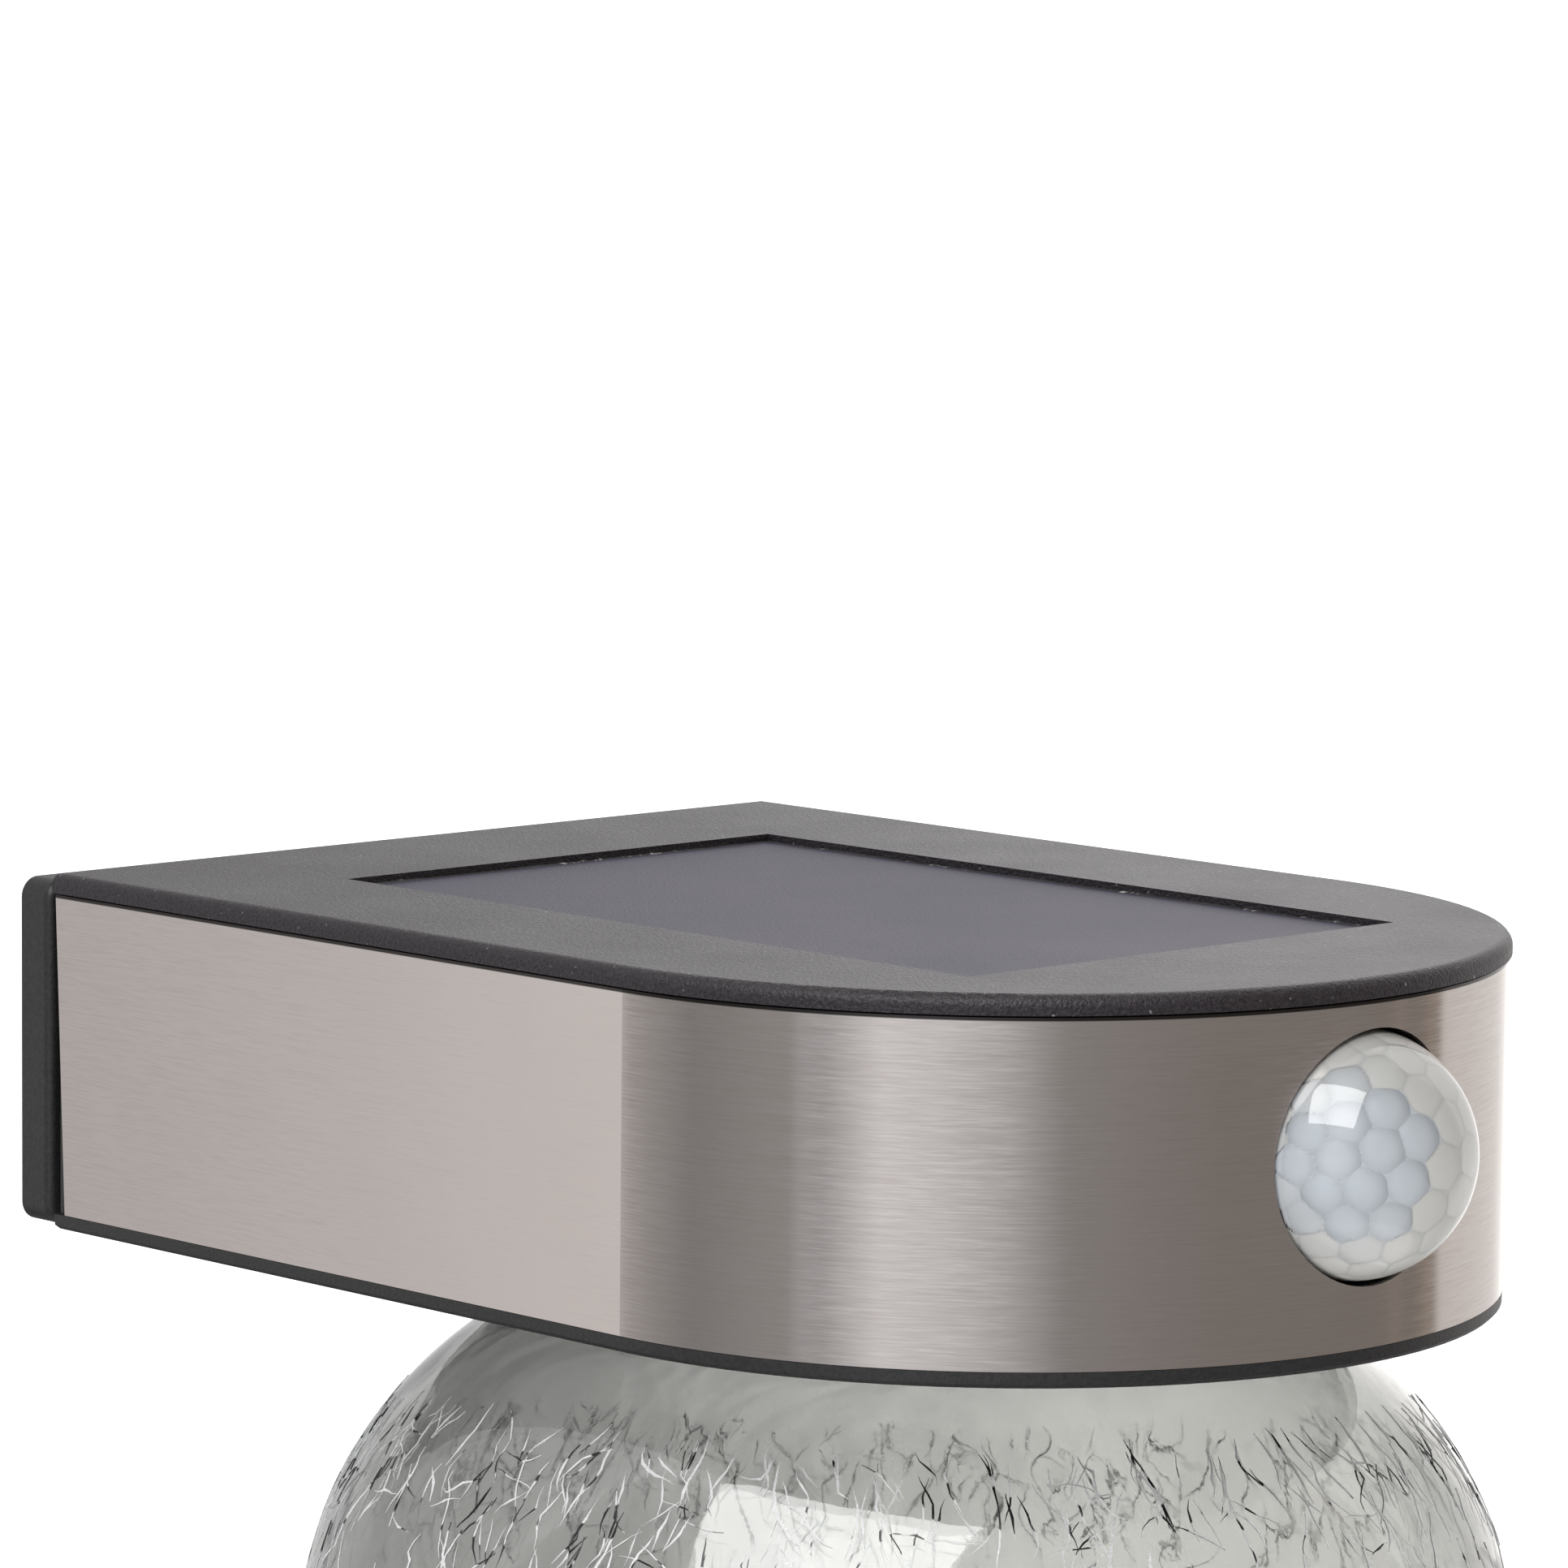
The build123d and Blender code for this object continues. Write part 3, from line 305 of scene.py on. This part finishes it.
def milky_lens():
    """Milky moulded lens sheet: bulging facets with light painted into their colour, bluish see-through
    light in the middle and a creamy warm light further out, with thin greyer seams.
    The dome carries "seam", "bulge" and "cream" at each point."""
    look = Look("milky_lens", IOR=1.5, Specular_IOR_Level=0.25,
                Subsurface_Weight=0.25, Subsurface_Radius=(1.0, 1.1, 1.2), Subsurface_Scale=0.6 * MM,
                Coat_Weight=1.0, Coat_Roughness=0.02, Coat_IOR=1.75)
    cloud = look.noise(220, 3, 0.5)
    seam = look.node("Attribute", attribute_name="seam").outputs["Fac"]
    painted_warm_light = look.node("Attribute", attribute_name="painted_warm_light").outputs["Fac"]
    # painted light: the bluish colour stands in for light seen through the middle facets, the creamy colour
    # for warm light on the outer ones
    milk = look.mix(painted_warm_light, (0.40, 0.43, 0.465), (0.455, 0.45, 0.43))
    milk = look.mix(look.spread(cloud, 0, 0.12), milk, (0.50, 0.51, 0.52))
    line = look.between(painted_warm_light, 0.0, 1.0, 0.10, 0.42)
    milk = look.mix(look.math("MULTIPLY", seam, line), milk, (0.26, 0.275, 0.29))
    look.link(milk, "Base Color")
    look.link(look.spread(cloud, 0.36, 0.46), "Roughness")
    bulge = look.node("Attribute", attribute_name="bulge").outputs["Fac"]
    rounded = look.math("SUBTRACT", 1.0, look.math("POWER", look.between(bulge, 0.982, 1.0, 0.0, 1.0), 1.5))
    bubble = look.math("MULTIPLY", rounded, look.between(painted_warm_light, 0.0, 1.0, 1.0, 0.35))
    look.link(look.bump(look.noise(900, 2), 0.05, 0.03 * MM), "Coat Normal")
    return look.done(look.bump(bubble, 0.9, 0.7 * MM))


def panel_face():
    """Satin clear sheet over dark cells."""
    look = Look("panel_face", IOR=1.45, Specular_Tint=(1.0, 0.97, 1.0, 1))
    cloud = look.noise(40, 4, 0.6)
    fine = look.noise(2600, 2, 0.6)
    colour = look.mix(look.spread(cloud, 0, 1), (0.033, 0.029, 0.052), (0.044, 0.039, 0.067))
    look.link(colour, "Base Color")
    look.link(look.spread(cloud, 0.49, 0.54), "Roughness")
    return look.done(look.bump(fine, 1.0, 0.10 * MM))


def circuit_board():
    """Green board with paler tracks."""
    look = Look("circuit_board", Roughness=0.35)
    tracks = look.node("TexBrick", {"Vector": look.place, "Scale": 300.0, "Color1": (0.02, 0.12, 0.05, 1),
                                    "Color2": (0.03, 0.16, 0.07, 1), "Mortar": (0.05, 0.22, 0.09, 1),
                                    "Mortar Size": 0.03})
    look.link(tracks.outputs["Color"], "Base Color")
    return look.done(look.bump(look.noise(1200, 2), 0.2, 0.03 * MM))


def rubber(name, colour):
    """Soft dull rubber, wire jacket or glue."""
    look = Look(name)
    grain = look.noise(1800, 3, 0.6)
    paler = tuple(min(1, c * 1.6) for c in colour)
    look.link(look.mix(look.spread(grain, 0, 1), colour, paler), "Base Color")
    look.link(look.spread(grain, 0.55, 0.75), "Roughness")
    return look.done(look.bump(grain, 0.3, 0.03 * MM))


# ---------------------------------------------------------------- the panel's glued edge
def panel_edge(material, rng):
    """Ragged bead of adhesive in the gap between the panel and the walls of its recess."""
    low, high = PANEL_LOW, PANEL_HIGH
    corners = [(low.x, low.y), (high.x, low.y), (high.x, high.y), (low.x, high.y)]
    outward = [(0, -1), (1, 0), (0, 1), (-1, 0)]
    verts, faces = [], []
    for (x0, y0), (x1, y1), (nx, ny) in zip(corners, corners[1:] + corners[:1], outward):
        length = math.hypot(x1 - x0, y1 - y0)
        count = int(length / BEAD_STEP)
        first = len(verts)
        swell = rng.uniform(0.4, 1.0, count // BEAD_SWELL_STEPS + 2)
        for k in range(count + 1):
            t = k / count
            x, y = x0 + (x1 - x0) * t, y0 + (y1 - y0) * t
            fat = np.interp(k / BEAD_SWELL_STEPS, np.arange(len(swell)), swell) * rng.uniform(0.5, 1.0)
            inward, rise = BEAD_IN * fat, BEAD_RISE * fat
            for out, up in ((BEAD_OUT, -BEAD_SUNK), (BEAD_OUT, rise * BEAD_OUT_RISE), (0.0, rise),
                            (-inward, BEAD_TOE_UP), (BEAD_FOOT_OUT, -BEAD_SUNK)):
                verts.append((x + nx * out, y + ny * out, high.z + up))
        for k in range(count):
            a, b = first + 5 * k, first + 5 * (k + 1)
            for c in range(5):
                d = (c + 1) % 5
                faces.append((a + c, a + d, b + d, b + c))
        faces.append(tuple(first + c for c in range(5)))
        faces.append(tuple(first + 5 * count + c for c in reversed(range(5))))
    bead = add_mesh("panel_edge_bead", verts, faces, material, "head", smooth=False)


def ragged_adhesive():
    """Cured adhesive: dark, with ragged whitish flecks."""
    look = Look("ragged_adhesive")
    fleck = look.noise(700, 3, 0.65)
    broad = look.noise(90, 2, 0.5)
    amount = look.between(look.math("ADD", fleck, look.math("MULTIPLY", broad, 0.5)), 0.85, 0.95, 0, 1)
    look.link(look.mix(amount, (0.02, 0.02, 0.022), (0.36, 0.36, 0.35)), "Base Color")
    look.link(look.spread(fleck, 0.4, 0.6), "Roughness")
    return look.done(look.bump(fleck, 0.5, 0.06 * MM))


# ---------------------------------------------------------------- the lens
def dome_direction(polar, turn):
    """Unit direction at an angle from the dome's axis, which points to -Y, and a turn about it."""
    return math.sin(polar) * math.cos(turn), -math.cos(polar), math.sin(polar) * math.sin(turn)


def facet_directions():
    """The middles of the six-sided facets, a slightly uneven grid wrapped over the dome."""
    facet_dirs = []
    jitter = np.random.default_rng(5)
    for row in range(-FACET_ROWS, FACET_ROWS + 1):
        for column in range(-FACET_ROWS, FACET_ROWS + 1):
            nudge_x, nudge_z = jitter.normal(0, FACET_NUDGE, 2)
            grid_x = (column + (row % 2) / 2 + nudge_x) * FACET_STEP
            grid_z = (row + nudge_z) * FACET_STEP * math.sqrt(3) / 2
            across = grid_x * math.cos(GRID_TURN) - grid_z * math.sin(GRID_TURN)
            up = grid_x * math.sin(GRID_TURN) + grid_z * math.cos(GRID_TURN)
            reach = math.hypot(across, up)
            if reach < FACET_REACH:
                shrink = math.sin(reach) / reach if reach else 1.0
                facet_dirs.append(Vector((across * shrink, -math.cos(reach), up * shrink)).normalized())
    return np.array([tuple(d) for d in facet_dirs])


def lens_dome(material):
    """The sensor's dome: a milky cap whose outside is cut into six-sided facets, with a flange behind."""
    centre = Vector((0, LENS_LOW.y + LENS_R, (LENS_HIGH.z + LENS_LOW.z) / 2))
    dirs = facet_directions()
    painted_cool_field = np.array(PAINTED_COOL_FIELD)
    painted_cool_field = painted_cool_field / np.linalg.norm(painted_cool_field)
    from_field = np.degrees(np.arccos(np.clip(dirs @ painted_cool_field, -1, 1)))
    # painted light: each facet's share of painted creamy warm light grows with its angle from the field
    # direction
    mottle = np.random.default_rng(3).uniform(-WARM_PAINT_MOTTLE, WARM_PAINT_MOTTLE, len(dirs))
    facet_warm_paint = np.clip((from_field - WARM_PAINT_FROM_DEG) / WARM_PAINT_OVER_DEG + mottle, 0, 1)
    seams, swell, warm_paint_shares = [], [], []
    turns = [2 * math.pi * step / DOME_STEPS for step in range(DOME_STEPS)]
    verts = []
    for ring in range(DOME_RINGS + 1):
        polar = math.pi / 2 * ring / DOME_RINGS
        for turn in turns:
            u = np.array(dome_direction(polar, turn))
            nearness = dirs @ u
            second, closest = (float(v) for v in np.sort(nearness)[-2:])
            warm_paint_shares.append(facet_warm_paint[int(np.argmax(nearness))])
            gap_deg = math.degrees(math.acos(min(1, second)) - math.acos(min(1, closest)))
            seams.append(max(0.0, 1 - gap_deg / SEAM_DEG))
            flat = math.cos(FACET_STEP * FACET_FLATTEN) / closest
            fade = min(1.0, (90 - math.degrees(polar)) / FACET_FADE_DEG)
            radius = LENS_R * (1 - FACET_DEPTH * fade * (1 - min(1.0, flat)))
            swell.append(fade * flat)
            verts.append(centre + radius * Vector(u))
    inner_r = LENS_R / MM - LENS_WALL_MM
    back_profile = [(LENS_R / MM, FLANGE_CORNER_MM), (FLANGE_R_MM, FLANGE_FRONT_MM),
                    (FLANGE_R_MM, FLANGE_BACK_MM), (inner_r, FLANGE_BACK_MM), (inner_r, DOME_FOOT_MM)]
    for radius, depth in back_profile:
        for turn in turns:
            height = centre.z + radius * MM * math.sin(turn)
            verts.append(Vector((radius * MM * math.cos(turn), depth * MM, height)))
    for ring in range(DOME_INNER_RINGS - 1, -1, -1):
        polar = math.pi / 2 * ring / DOME_INNER_RINGS
        verts += [centre + inner_r * MM * Vector(dome_direction(polar, turn)) for turn in turns]
    faces = []
    for row in range(len(verts) // DOME_STEPS - 1):
        here, there = row * DOME_STEPS, (row + 1) * DOME_STEPS
        for step in range(DOME_STEPS):
            after = (step + 1) % DOME_STEPS
            faces.append((here + step, here + after, there + after, there + step))
    dome = add_mesh("pir_dome", verts, faces, material, "head")
    for name in ("seam", "bulge", "painted_warm_light"):
        dome.data.attributes.new(name, "FLOAT", "POINT")
    for name, values in (("seam", seams), ("bulge", swell), ("painted_warm_light", warm_paint_shares)):
        padded = values + [0.0] * (len(verts) - len(values))
        dome.data.attributes[name].data.foreach_set("value", padded)
    weld = dome.modifiers.new("weld", "WELD")
    weld.merge_threshold = DOME_WELD
    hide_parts("pir_lens")


# ---------------------------------------------------------------- the globe
def skin_profile(depth, from_neck=True):
    """(radius, height) points of the glass skin at a depth below its outside, from neck to bottom."""
    points = []
    if from_neck:
        points += [(NECK_R - depth, GLOBE_HIGH.z), (NECK_R - depth, (GLOBE_HIGH.z + SHOULDER_TOP) / 2)]
        points += [(NECK_R - depth, SHOULDER_TOP - depth)]
    for k in range(1, CROWN_POINTS + 1):
        angle = math.pi / 2 - (math.pi / 2 - LEAN) * k / CROWN_POINTS
        points.append((CROWN_X + (CROWN_R - depth) * math.cos(angle),
                       CROWN_Z + (CROWN_R - depth) * math.sin(angle)))
    for k in range(1, SHOULDER_POINTS + 1):
        angle = LEAN * (1 - k / SHOULDER_POINTS)
        points.append((SHOULDER_AXIS + (SHOULDER_R - depth) * math.cos(angle),
                       GLOBE_MID + (SHOULDER_R - depth) * math.sin(angle)))
    for k in range(1, BOWL_POINTS):
        angle = -math.pi / 2 * k / BOWL_POINTS
        points.append(((GLOBE_R - depth) * math.cos(angle), GLOBE_MID + (GLOBE_R - depth) * math.sin(angle)))
    points.append((TIP_R, GLOBE_MID - GLOBE_R + depth))
    return points


def globe_shell(material):
    """The glass globe as one smooth blown shell with a rounded neck edge."""
    outer = skin_profile(0.0)
    inner = skin_profile(GLASS_WALL)
    outer[0] = (NECK_R, GLOBE_HIGH.z - NECK_EDGE_DROP)
    inner[0] = (NECK_R - GLASS_WALL, GLOBE_HIGH.z - NECK_EDGE_DROP)
    edge = [(NECK_R - NECK_EDGE_IN, GLOBE_HIGH.z), (NECK_R - GLASS_WALL + NECK_EDGE_IN, GLOBE_HIGH.z)]
    profile = inner[::-1] + edge[::-1] + outer
    verts, faces = revolve(profile, (0, GLOBE_Y), GLOBE_STEPS)
    shell = add_mesh("globe_shell", verts, faces, material, "globe")
    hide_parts("glass_globe")


class SkinMap:
    """Turns (turn angle, distance down the skin) into points and outward normals."""

    def __init__(self):
        profile = np.array(skin_profile(0.0, from_neck=False))
        steps = np.hypot(*np.diff(profile, axis=0).T)
        self.run = np.concatenate([[0], np.cumsum(steps)])
        self.radius, self.height = profile.T
        slope_r = np.gradient(self.radius, self.run)
        slope_z = np.gradient(self.height, self.run)
        self.normal_r, self.normal_z = -slope_z, slope_r
        self.length = float(self.run[-1])

    def radius_at(self, down):
        """Radius of the globe at a distance down its skin."""
        return float(np.interp(down, self.run, self.radius))

    def at(self, turn, down):
        """Point on the skin, and the normal there."""
        radius = np.interp(down, self.run, self.radius)
        height = np.interp(down, self.run, self.height)
        nr, nz = np.interp(down, self.run, self.normal_r), np.interp(down, self.run, self.normal_z)
        point = np.array((radius * math.cos(turn), GLOBE_Y + radius * math.sin(turn), height))
        normal = np.array((nr * math.cos(turn), nr * math.sin(turn), nz))
        return point, normal / np.linalg.norm(normal)


def grow_cracks(skin, rng):
    """Branching crack lines as lists of (turn, down): many short ones along the top edge of the
    crackled part, and longer ones spread over the rest. A line stops where it meets another."""
    bottom = skin.length - BOTTOM_CLEAR
    taken = {}
    lines = []

    def top(turn):
        """Where the cracks begin: lower on the globe's clear side."""
        clear = (1 + math.cos(turn - CLEAR_SIDE)) / 2
        return (CRACK_TOP_MM + CLEAR_EXTRA_MM * clear ** 2) * MM

    def key(turn, down):
        """The small cell of glass that a place lies in."""
        around = (turn % (2 * math.pi)) * skin.radius_at(down)
        return int(down / CRACK_CELL), int(around / CRACK_CELL)

    def walk(turn, down, heading, length, depth):
        """One crack and its branches, each branch a level deeper."""
        line = [(turn, down)]
        lean, gone = heading, 0.0
        name = len(lines)
        lines.append(line)
        while gone < length:
            heading += rng.normal(0, CRACK_WANDER) - CRACK_STEADY * (heading - lean)
            if rng.random() < KINK_CHANCE:
                heading += rng.choice((-KINK, KINK))
            down += CRACK_STEP * math.cos(heading)
            turn += CRACK_STEP * math.sin(heading) / max(skin.radius_at(down), 3 * MM)
            gone += CRACK_STEP
            if not top(turn) < down < bottom:
                break
            line.append((turn, down))
            place = key(turn, down)
            owner = taken.get(place)
            if owner is not None and owner != name and gone > 3 * CRACK_STEP:
                break
            taken[place] = name
            if depth < BRANCH_DEPTH and rng.random() < BRANCH_CHANCE and gone > 2 * CRACK_STEP:
                side = rng.choice((-1, 1))
                walk(turn, down, heading + side * rng.uniform(*BRANCH_TURN),
                     length * rng.uniform(*BRANCH_SHARE), depth + 1)

    for _ in range(TOP_CRACKS):
        turn = rng.uniform(0, 2 * math.pi)
        below = abs(rng.normal(0, TOP_SPREAD_MM)) * MM
        walk(turn, top(turn) + below, rng.normal(0, TOP_HEADING), rng.uniform(*TOP_LENGTH_MM) * MM, 1)
    for _ in range(OTHER_CRACKS):
        turn = rng.uniform(0, 2 * math.pi)
        down = top(turn) + (bottom - top(turn)) * math.acos(1 - 2 * rng.random()) / math.pi
        if rng.random() < min(1.0, skin.radius_at(down) / GLOBE_R + 0.1):
            walk(turn, down, rng.normal(0, OTHER_HEADING), rng.uniform(*OTHER_LENGTH_MM) * MM, 0)
    return [line for line in lines if len(line) > CRACK_LEAST_POINTS]


def crack_fins(material, rng):
    """Each crack as a thin closed wedge: a narrow face just proud of the glass and a keel in the wall."""
    skin = SkinMap()
    verts, faces = [], []
    for line in grow_cracks(skin, rng):
        half = rng.uniform(*FIN_HALF_MM) * MM
        keel = rng.uniform(*FIN_KEEL_MM) * MM
        rise_left, rise_right = rng.uniform(*FIN_RISE_MM, 2) * MM
        placed = [skin.at(turn, down) for turn, down in line]
        points = np.array([p for p, _ in placed])
        normals = np.array([n for _, n in placed])
        along = np.gradient(points, axis=0)
        along /= np.linalg.norm(along, axis=1)[:, None] + 1e-12
        across = np.cross(along, normals)
        ends = np.minimum(np.arange(len(line)), np.arange(len(line))[::-1])
        taper = np.clip(ends / 2.0, FIN_TIP, 1.0) * rng.uniform(*FIN_UNEVEN, len(line))
        first = len(verts)
        for point, normal, side, size in zip(points, normals, across, taper):
            verts += [point + normal * rise_left + side * half * size,
                      point + normal * rise_right - side * half * size,
                      point - normal * keel * size]
        for k in range(len(line) - 1):
            a, b = first + 3 * k, first + 3 * (k + 1)
            for c in range(3):
                d = (c + 1) % 3
                faces.append((a + c, a + d, b + d, b + c))
        faces.append((first, first + 2, first + 1))
        last = first + 3 * (len(line) - 1)
        faces.append((last, last + 1, last + 2))
    fins = add_mesh("globe_cracks", verts, faces, material, "globe", smooth=False)


# ---------------------------------------------------------------- materials on the CAD pieces
def finish_cad(looks):
    """Gives each named CAD piece its material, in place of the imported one."""
    for names, material in looks:
        for name in names.split():
            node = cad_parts[name]
            for material_slot in node.material_slots:
                material_slot.material = material


black_moulding = moulded("black_moulding", (0.010, 0.010, 0.011), (0.019, 0.018, 0.019),
                         0.42, 0.35 * MM, 0.04 * MM)
cover_moulding = moulded("cover_moulding", (0.009, 0.0070, 0.0088), (0.024, 0.0195, 0.0235),
                         0.42, 0.34 * MM, 0.16 * MM, specks=0.30, Specular_Tint=(1.0, 0.955, 0.985, 1))
inner_moulding = moulded("inner_moulding", (0.03, 0.03, 0.03), (0.05, 0.05, 0.05), 0.5, 0.5 * MM, 0.03 * MM)
white_moulding = moulded("white_moulding", (0.70, 0.70, 0.68), (0.80, 0.80, 0.78), 0.45, 0.5 * MM, 0.03 * MM)
knob_moulding = moulded("knob_moulding", (0.06, 0.06, 0.06), (0.09, 0.09, 0.09), 0.5, 0.4 * MM, 0.04 * MM)
sleeve = moulded("battery_sleeve", (0.05, 0.14, 0.30), (0.07, 0.19, 0.38), 0.3, 0.8 * MM, 0.02 * MM)
component = moulded("component_body", (0.02, 0.02, 0.02), (0.04, 0.04, 0.04), 0.4, 0.4 * MM, 0.02 * MM)
phosphor = moulded("led_phosphor", (0.75, 0.60, 0.15), (0.85, 0.70, 0.25), 0.35, 0.4 * MM, 0.02 * MM)
frosted = moulded("frosted_diffuser", (0.72, 0.74, 0.75), (0.82, 0.84, 0.85), 0.35, 0.4 * MM, 0.02 * MM)
screw_metal = plain_metal("screw_metal", (0.45, 0.45, 0.46), (0.65, 0.65, 0.66), 0.28)
can_metal = plain_metal("can_metal", (0.62, 0.58, 0.50), (0.78, 0.74, 0.66), 0.22)
soft_black = rubber("soft_black", (0.018, 0.018, 0.018))
wire_red = rubber("wire_jacket", (0.28, 0.02, 0.02))
glue = rubber("glue", (0.35, 0.35, 0.33))
steel = brushed_steel()
board = circuit_board()

finish_cad([
    ("wall_bracket lower_housing globe_collar", black_moulding),
    ("top_cover", cover_moulding),
    ("steel_band", steel),
    ("solar_glass", panel_face()),
    ("solar_cells", component),
    ("cover_gasket socket_gasket lens_seal panel_seal", soft_black),
    ("lens_retainer battery_cradle switch_body", inner_moulding),
    ("led_carrier led_board", white_moulding),
    ("led_lens", frosted),
    ("switch_knob", knob_moulding),
    ("battery_cell", sleeve),
    ("control_parts", component),
    ("led_chips", phosphor),
    ("housing_screws board_screws carrier_screws battery_contacts", screw_metal),
    ("pir_sensor", can_metal),
    ("solar_backing pir_board control_board", board),
    ("solar_leads battery_leads led_leads pir_leads switch_leads", wire_red),
    ("collar_adhesive", glue),
])

panel_edge(ragged_adhesive(), np.random.default_rng(7))
lens_dome(milky_lens())
globe_shell(crackle_glass())
crack_fins(crack_faces(), np.random.default_rng(41))


# ---------------------------------------------------------------- studio
def stage_plane(name, height, half, colour, glow):
    """A level square that glows, seen by the camera but not by glossy or see-through pieces."""
    corners = [(-half, -half, height), (half, -half, height), (half, half, height), (-half, half, height)]
    mesh = bpy.data.meshes.new(name)
    mesh.from_pydata(corners, [], [(0, 1, 2, 3)])
    plane = bpy.data.objects.new(name, mesh)
    bpy.context.scene.collection.objects.link(plane)
    look = Look(name, Roughness=0.9, Emission_Color=(*colour, 1), Emission_Strength=glow)
    paler = tuple(min(1.0, c * 1.02) for c in colour)
    look.link(look.mix(look.noise(2.0, 2), colour, paler), "Base Color")
    mesh.materials.append(look.material)
    plane.visible_glossy = False
    plane.visible_transmission = False


def upright_wall(name, radius, low, high, levels, foot=1.0):
    """A round wall that glows by azimuth, down to a share called foot at its foot. Its levels are
    (degrees, level) or (degrees, level, warmth), with 0 degrees along +X, and at most 32 of them."""
    verts, faces = [], []
    for step in range(WALL_STEPS):
        turn = 2 * math.pi * step / WALL_STEPS
        for height in (low, high):
            verts.append((radius * math.cos(turn), radius * math.sin(turn), height))
    for step in range(WALL_STEPS):
        after = (step + 1) % WALL_STEPS
        faces.append((2 * step, 2 * after, 2 * after + 1, 2 * step + 1))
    mesh = bpy.data.meshes.new(name)
    mesh.from_pydata(verts, [], faces)
    wall = bpy.data.objects.new(name, mesh)
    bpy.context.scene.collection.objects.link(wall)
    wall.location = (0, MIDDLE_Y, 0)
    look = Look(name, Roughness=1.0, Base_Color=(0, 0, 0, 1), Specular_IOR_Level=0.0)
    around = look.node("TexGradient", {"Vector": look.place}, gradient_type="RADIAL").outputs["Fac"]
    ramp = look.node("ValToRGB", {"Fac": around})
    stops = sorted((((azimuth + 180) % 360) / 360, level, *warmth) for azimuth, level, *warmth in levels)
    while len(ramp.color_ramp.elements) < len(stops):
        ramp.color_ramp.elements.new(0.5)
    for element, (place, level, *warmth) in zip(ramp.color_ramp.elements, stops):
        warm = sum(warmth)
        element.position = place
        element.color = (level * (1 + warm), level, level * (1 - warm), 1)
    look.link(ramp.outputs["Color"], "Emission Color")
    height = look.node("SeparateXYZ", {"Vector": look.place}).outputs["Z"]
    look.link(look.between(height, WALL_DARK_Z, WALL_FULL_Z, foot, 1.0), "Emission Strength")
    mesh.materials.append(look.material)
    wall.visible_camera = False
    return wall


def soft_light(name, azimuth_deg, elevation_deg, distance, size, power):
    """A rectangular lamp at a direction and distance, facing the object."""
    light = bpy.data.lights.new(name, "AREA")
    light.shape = "RECTANGLE"
    light.size, light.size_y = size
    light.energy = power
    lamp = bpy.data.objects.new(name, light)
    bpy.context.scene.collection.objects.link(lamp)
    azimuth, elevation = math.radians(azimuth_deg), math.radians(elevation_deg)
    aim = Vector((math.cos(azimuth) * math.cos(elevation), math.sin(azimuth) * math.cos(elevation),
                  math.sin(elevation)))
    lamp.location = Vector((0, MIDDLE_Y, LAMP_AIM_Z)) + aim * distance
    lamp.rotation_mode = "QUATERNION"
    lamp.rotation_quaternion = aim.to_track_quat("Z", "Y")


stage_plane("floor", FLOOR_Z, FLOOR_HALF, (0.88, 0.88, 0.88), glow=0.9)
# the white ground behind the object, seen only by the camera
backdrop = upright_wall("backdrop", 5.9, FLOOR_Z, 6.0, [(0, 1.03), (180, 1.03)])
backdrop.visible_camera = True
backdrop.visible_glossy = False
backdrop.visible_diffuse = False
backdrop.visible_transmission = False
# what the steel, the lens and the glass reflect, never seen by the camera
upright_wall("surround", 2.4, -3.2, 4.2, [
    (127, 0.65), (130.5, 0.80), (132, 0.90), (133.5, 1.01), (135.8, 1.04), (136.2, 0.50), (154, 0.33),
    (174, 0.42), (187, 0.53, -0.03), (200, 1.00, -0.03), (212, 0.89, -0.03), (228, 0.62, -0.02), (240, 0.38),
    (256, 0.33, 0.03), (275, 0.29, 0.05), (322, 0.27, 0.07), (325, 0.33, 0.12), (328, 0.27, 0.06),
    (334, 0.27, 0.08), (336.5, 0.34, 0.16), (340.4, 0.29, 0.12), (340.9, 0.80, 0.02), (376, 0.90, 0.02),
    (385, 1.14, 0.02), (394, 1.62, 0.01), (402, 1.75, 0.01), (404, 1.60, 0.01), (407.5, 1.14), (409, 0.88),
    (411, 0.84), (415, 0.70), (456, 0.54)], foot=0.15)
soft_light("key_softbox", azimuth_deg=203, elevation_deg=52, distance=1.2, size=(0.90, 0.80), power=9.5)

world = bpy.data.worlds.new("studio")
world.use_nodes = True
background = world.node_tree.nodes["Background"]
background.inputs["Color"].default_value = (1.0, 1.0, 1.0, 1)
background.inputs["Strength"].default_value = 0.5
bpy.context.scene.world = world
bpy.context.scene.view_settings.view_transform = "Standard"

# ---------------------------------------------------------------- camera, fitted to the photograph
CAMERA_PLACE = Vector((-0.4991, -0.5849, 0.1144))
FOCAL_LENGTH, SENSOR_WIDTH = 168.9, 36.0
AZIMUTH, ELEVATION, ROLL = math.radians(-43.57), math.radians(6.73), math.radians(0.595)
back = Vector((math.sin(AZIMUTH) * math.cos(ELEVATION), -math.cos(AZIMUTH) * math.cos(ELEVATION),
               math.sin(ELEVATION)))
lens = bpy.data.cameras.new("camera")
lens.lens = FOCAL_LENGTH
lens.sensor_width = SENSOR_WIDTH
camera = bpy.data.objects.new("camera", lens)
bpy.context.scene.collection.objects.link(camera)
camera.location = CAMERA_PLACE
right = Vector((math.cos(AZIMUTH), math.sin(AZIMUTH), 0))
up = back.cross(right)
tilted_right = math.cos(ROLL) * right + math.sin(ROLL) * up
tilted_up = back.cross(tilted_right)
camera.rotation_mode = "QUATERNION"
camera.rotation_quaternion = Matrix((tilted_right, tilted_up, back)).transposed().to_quaternion()
bpy.context.scene.camera = camera
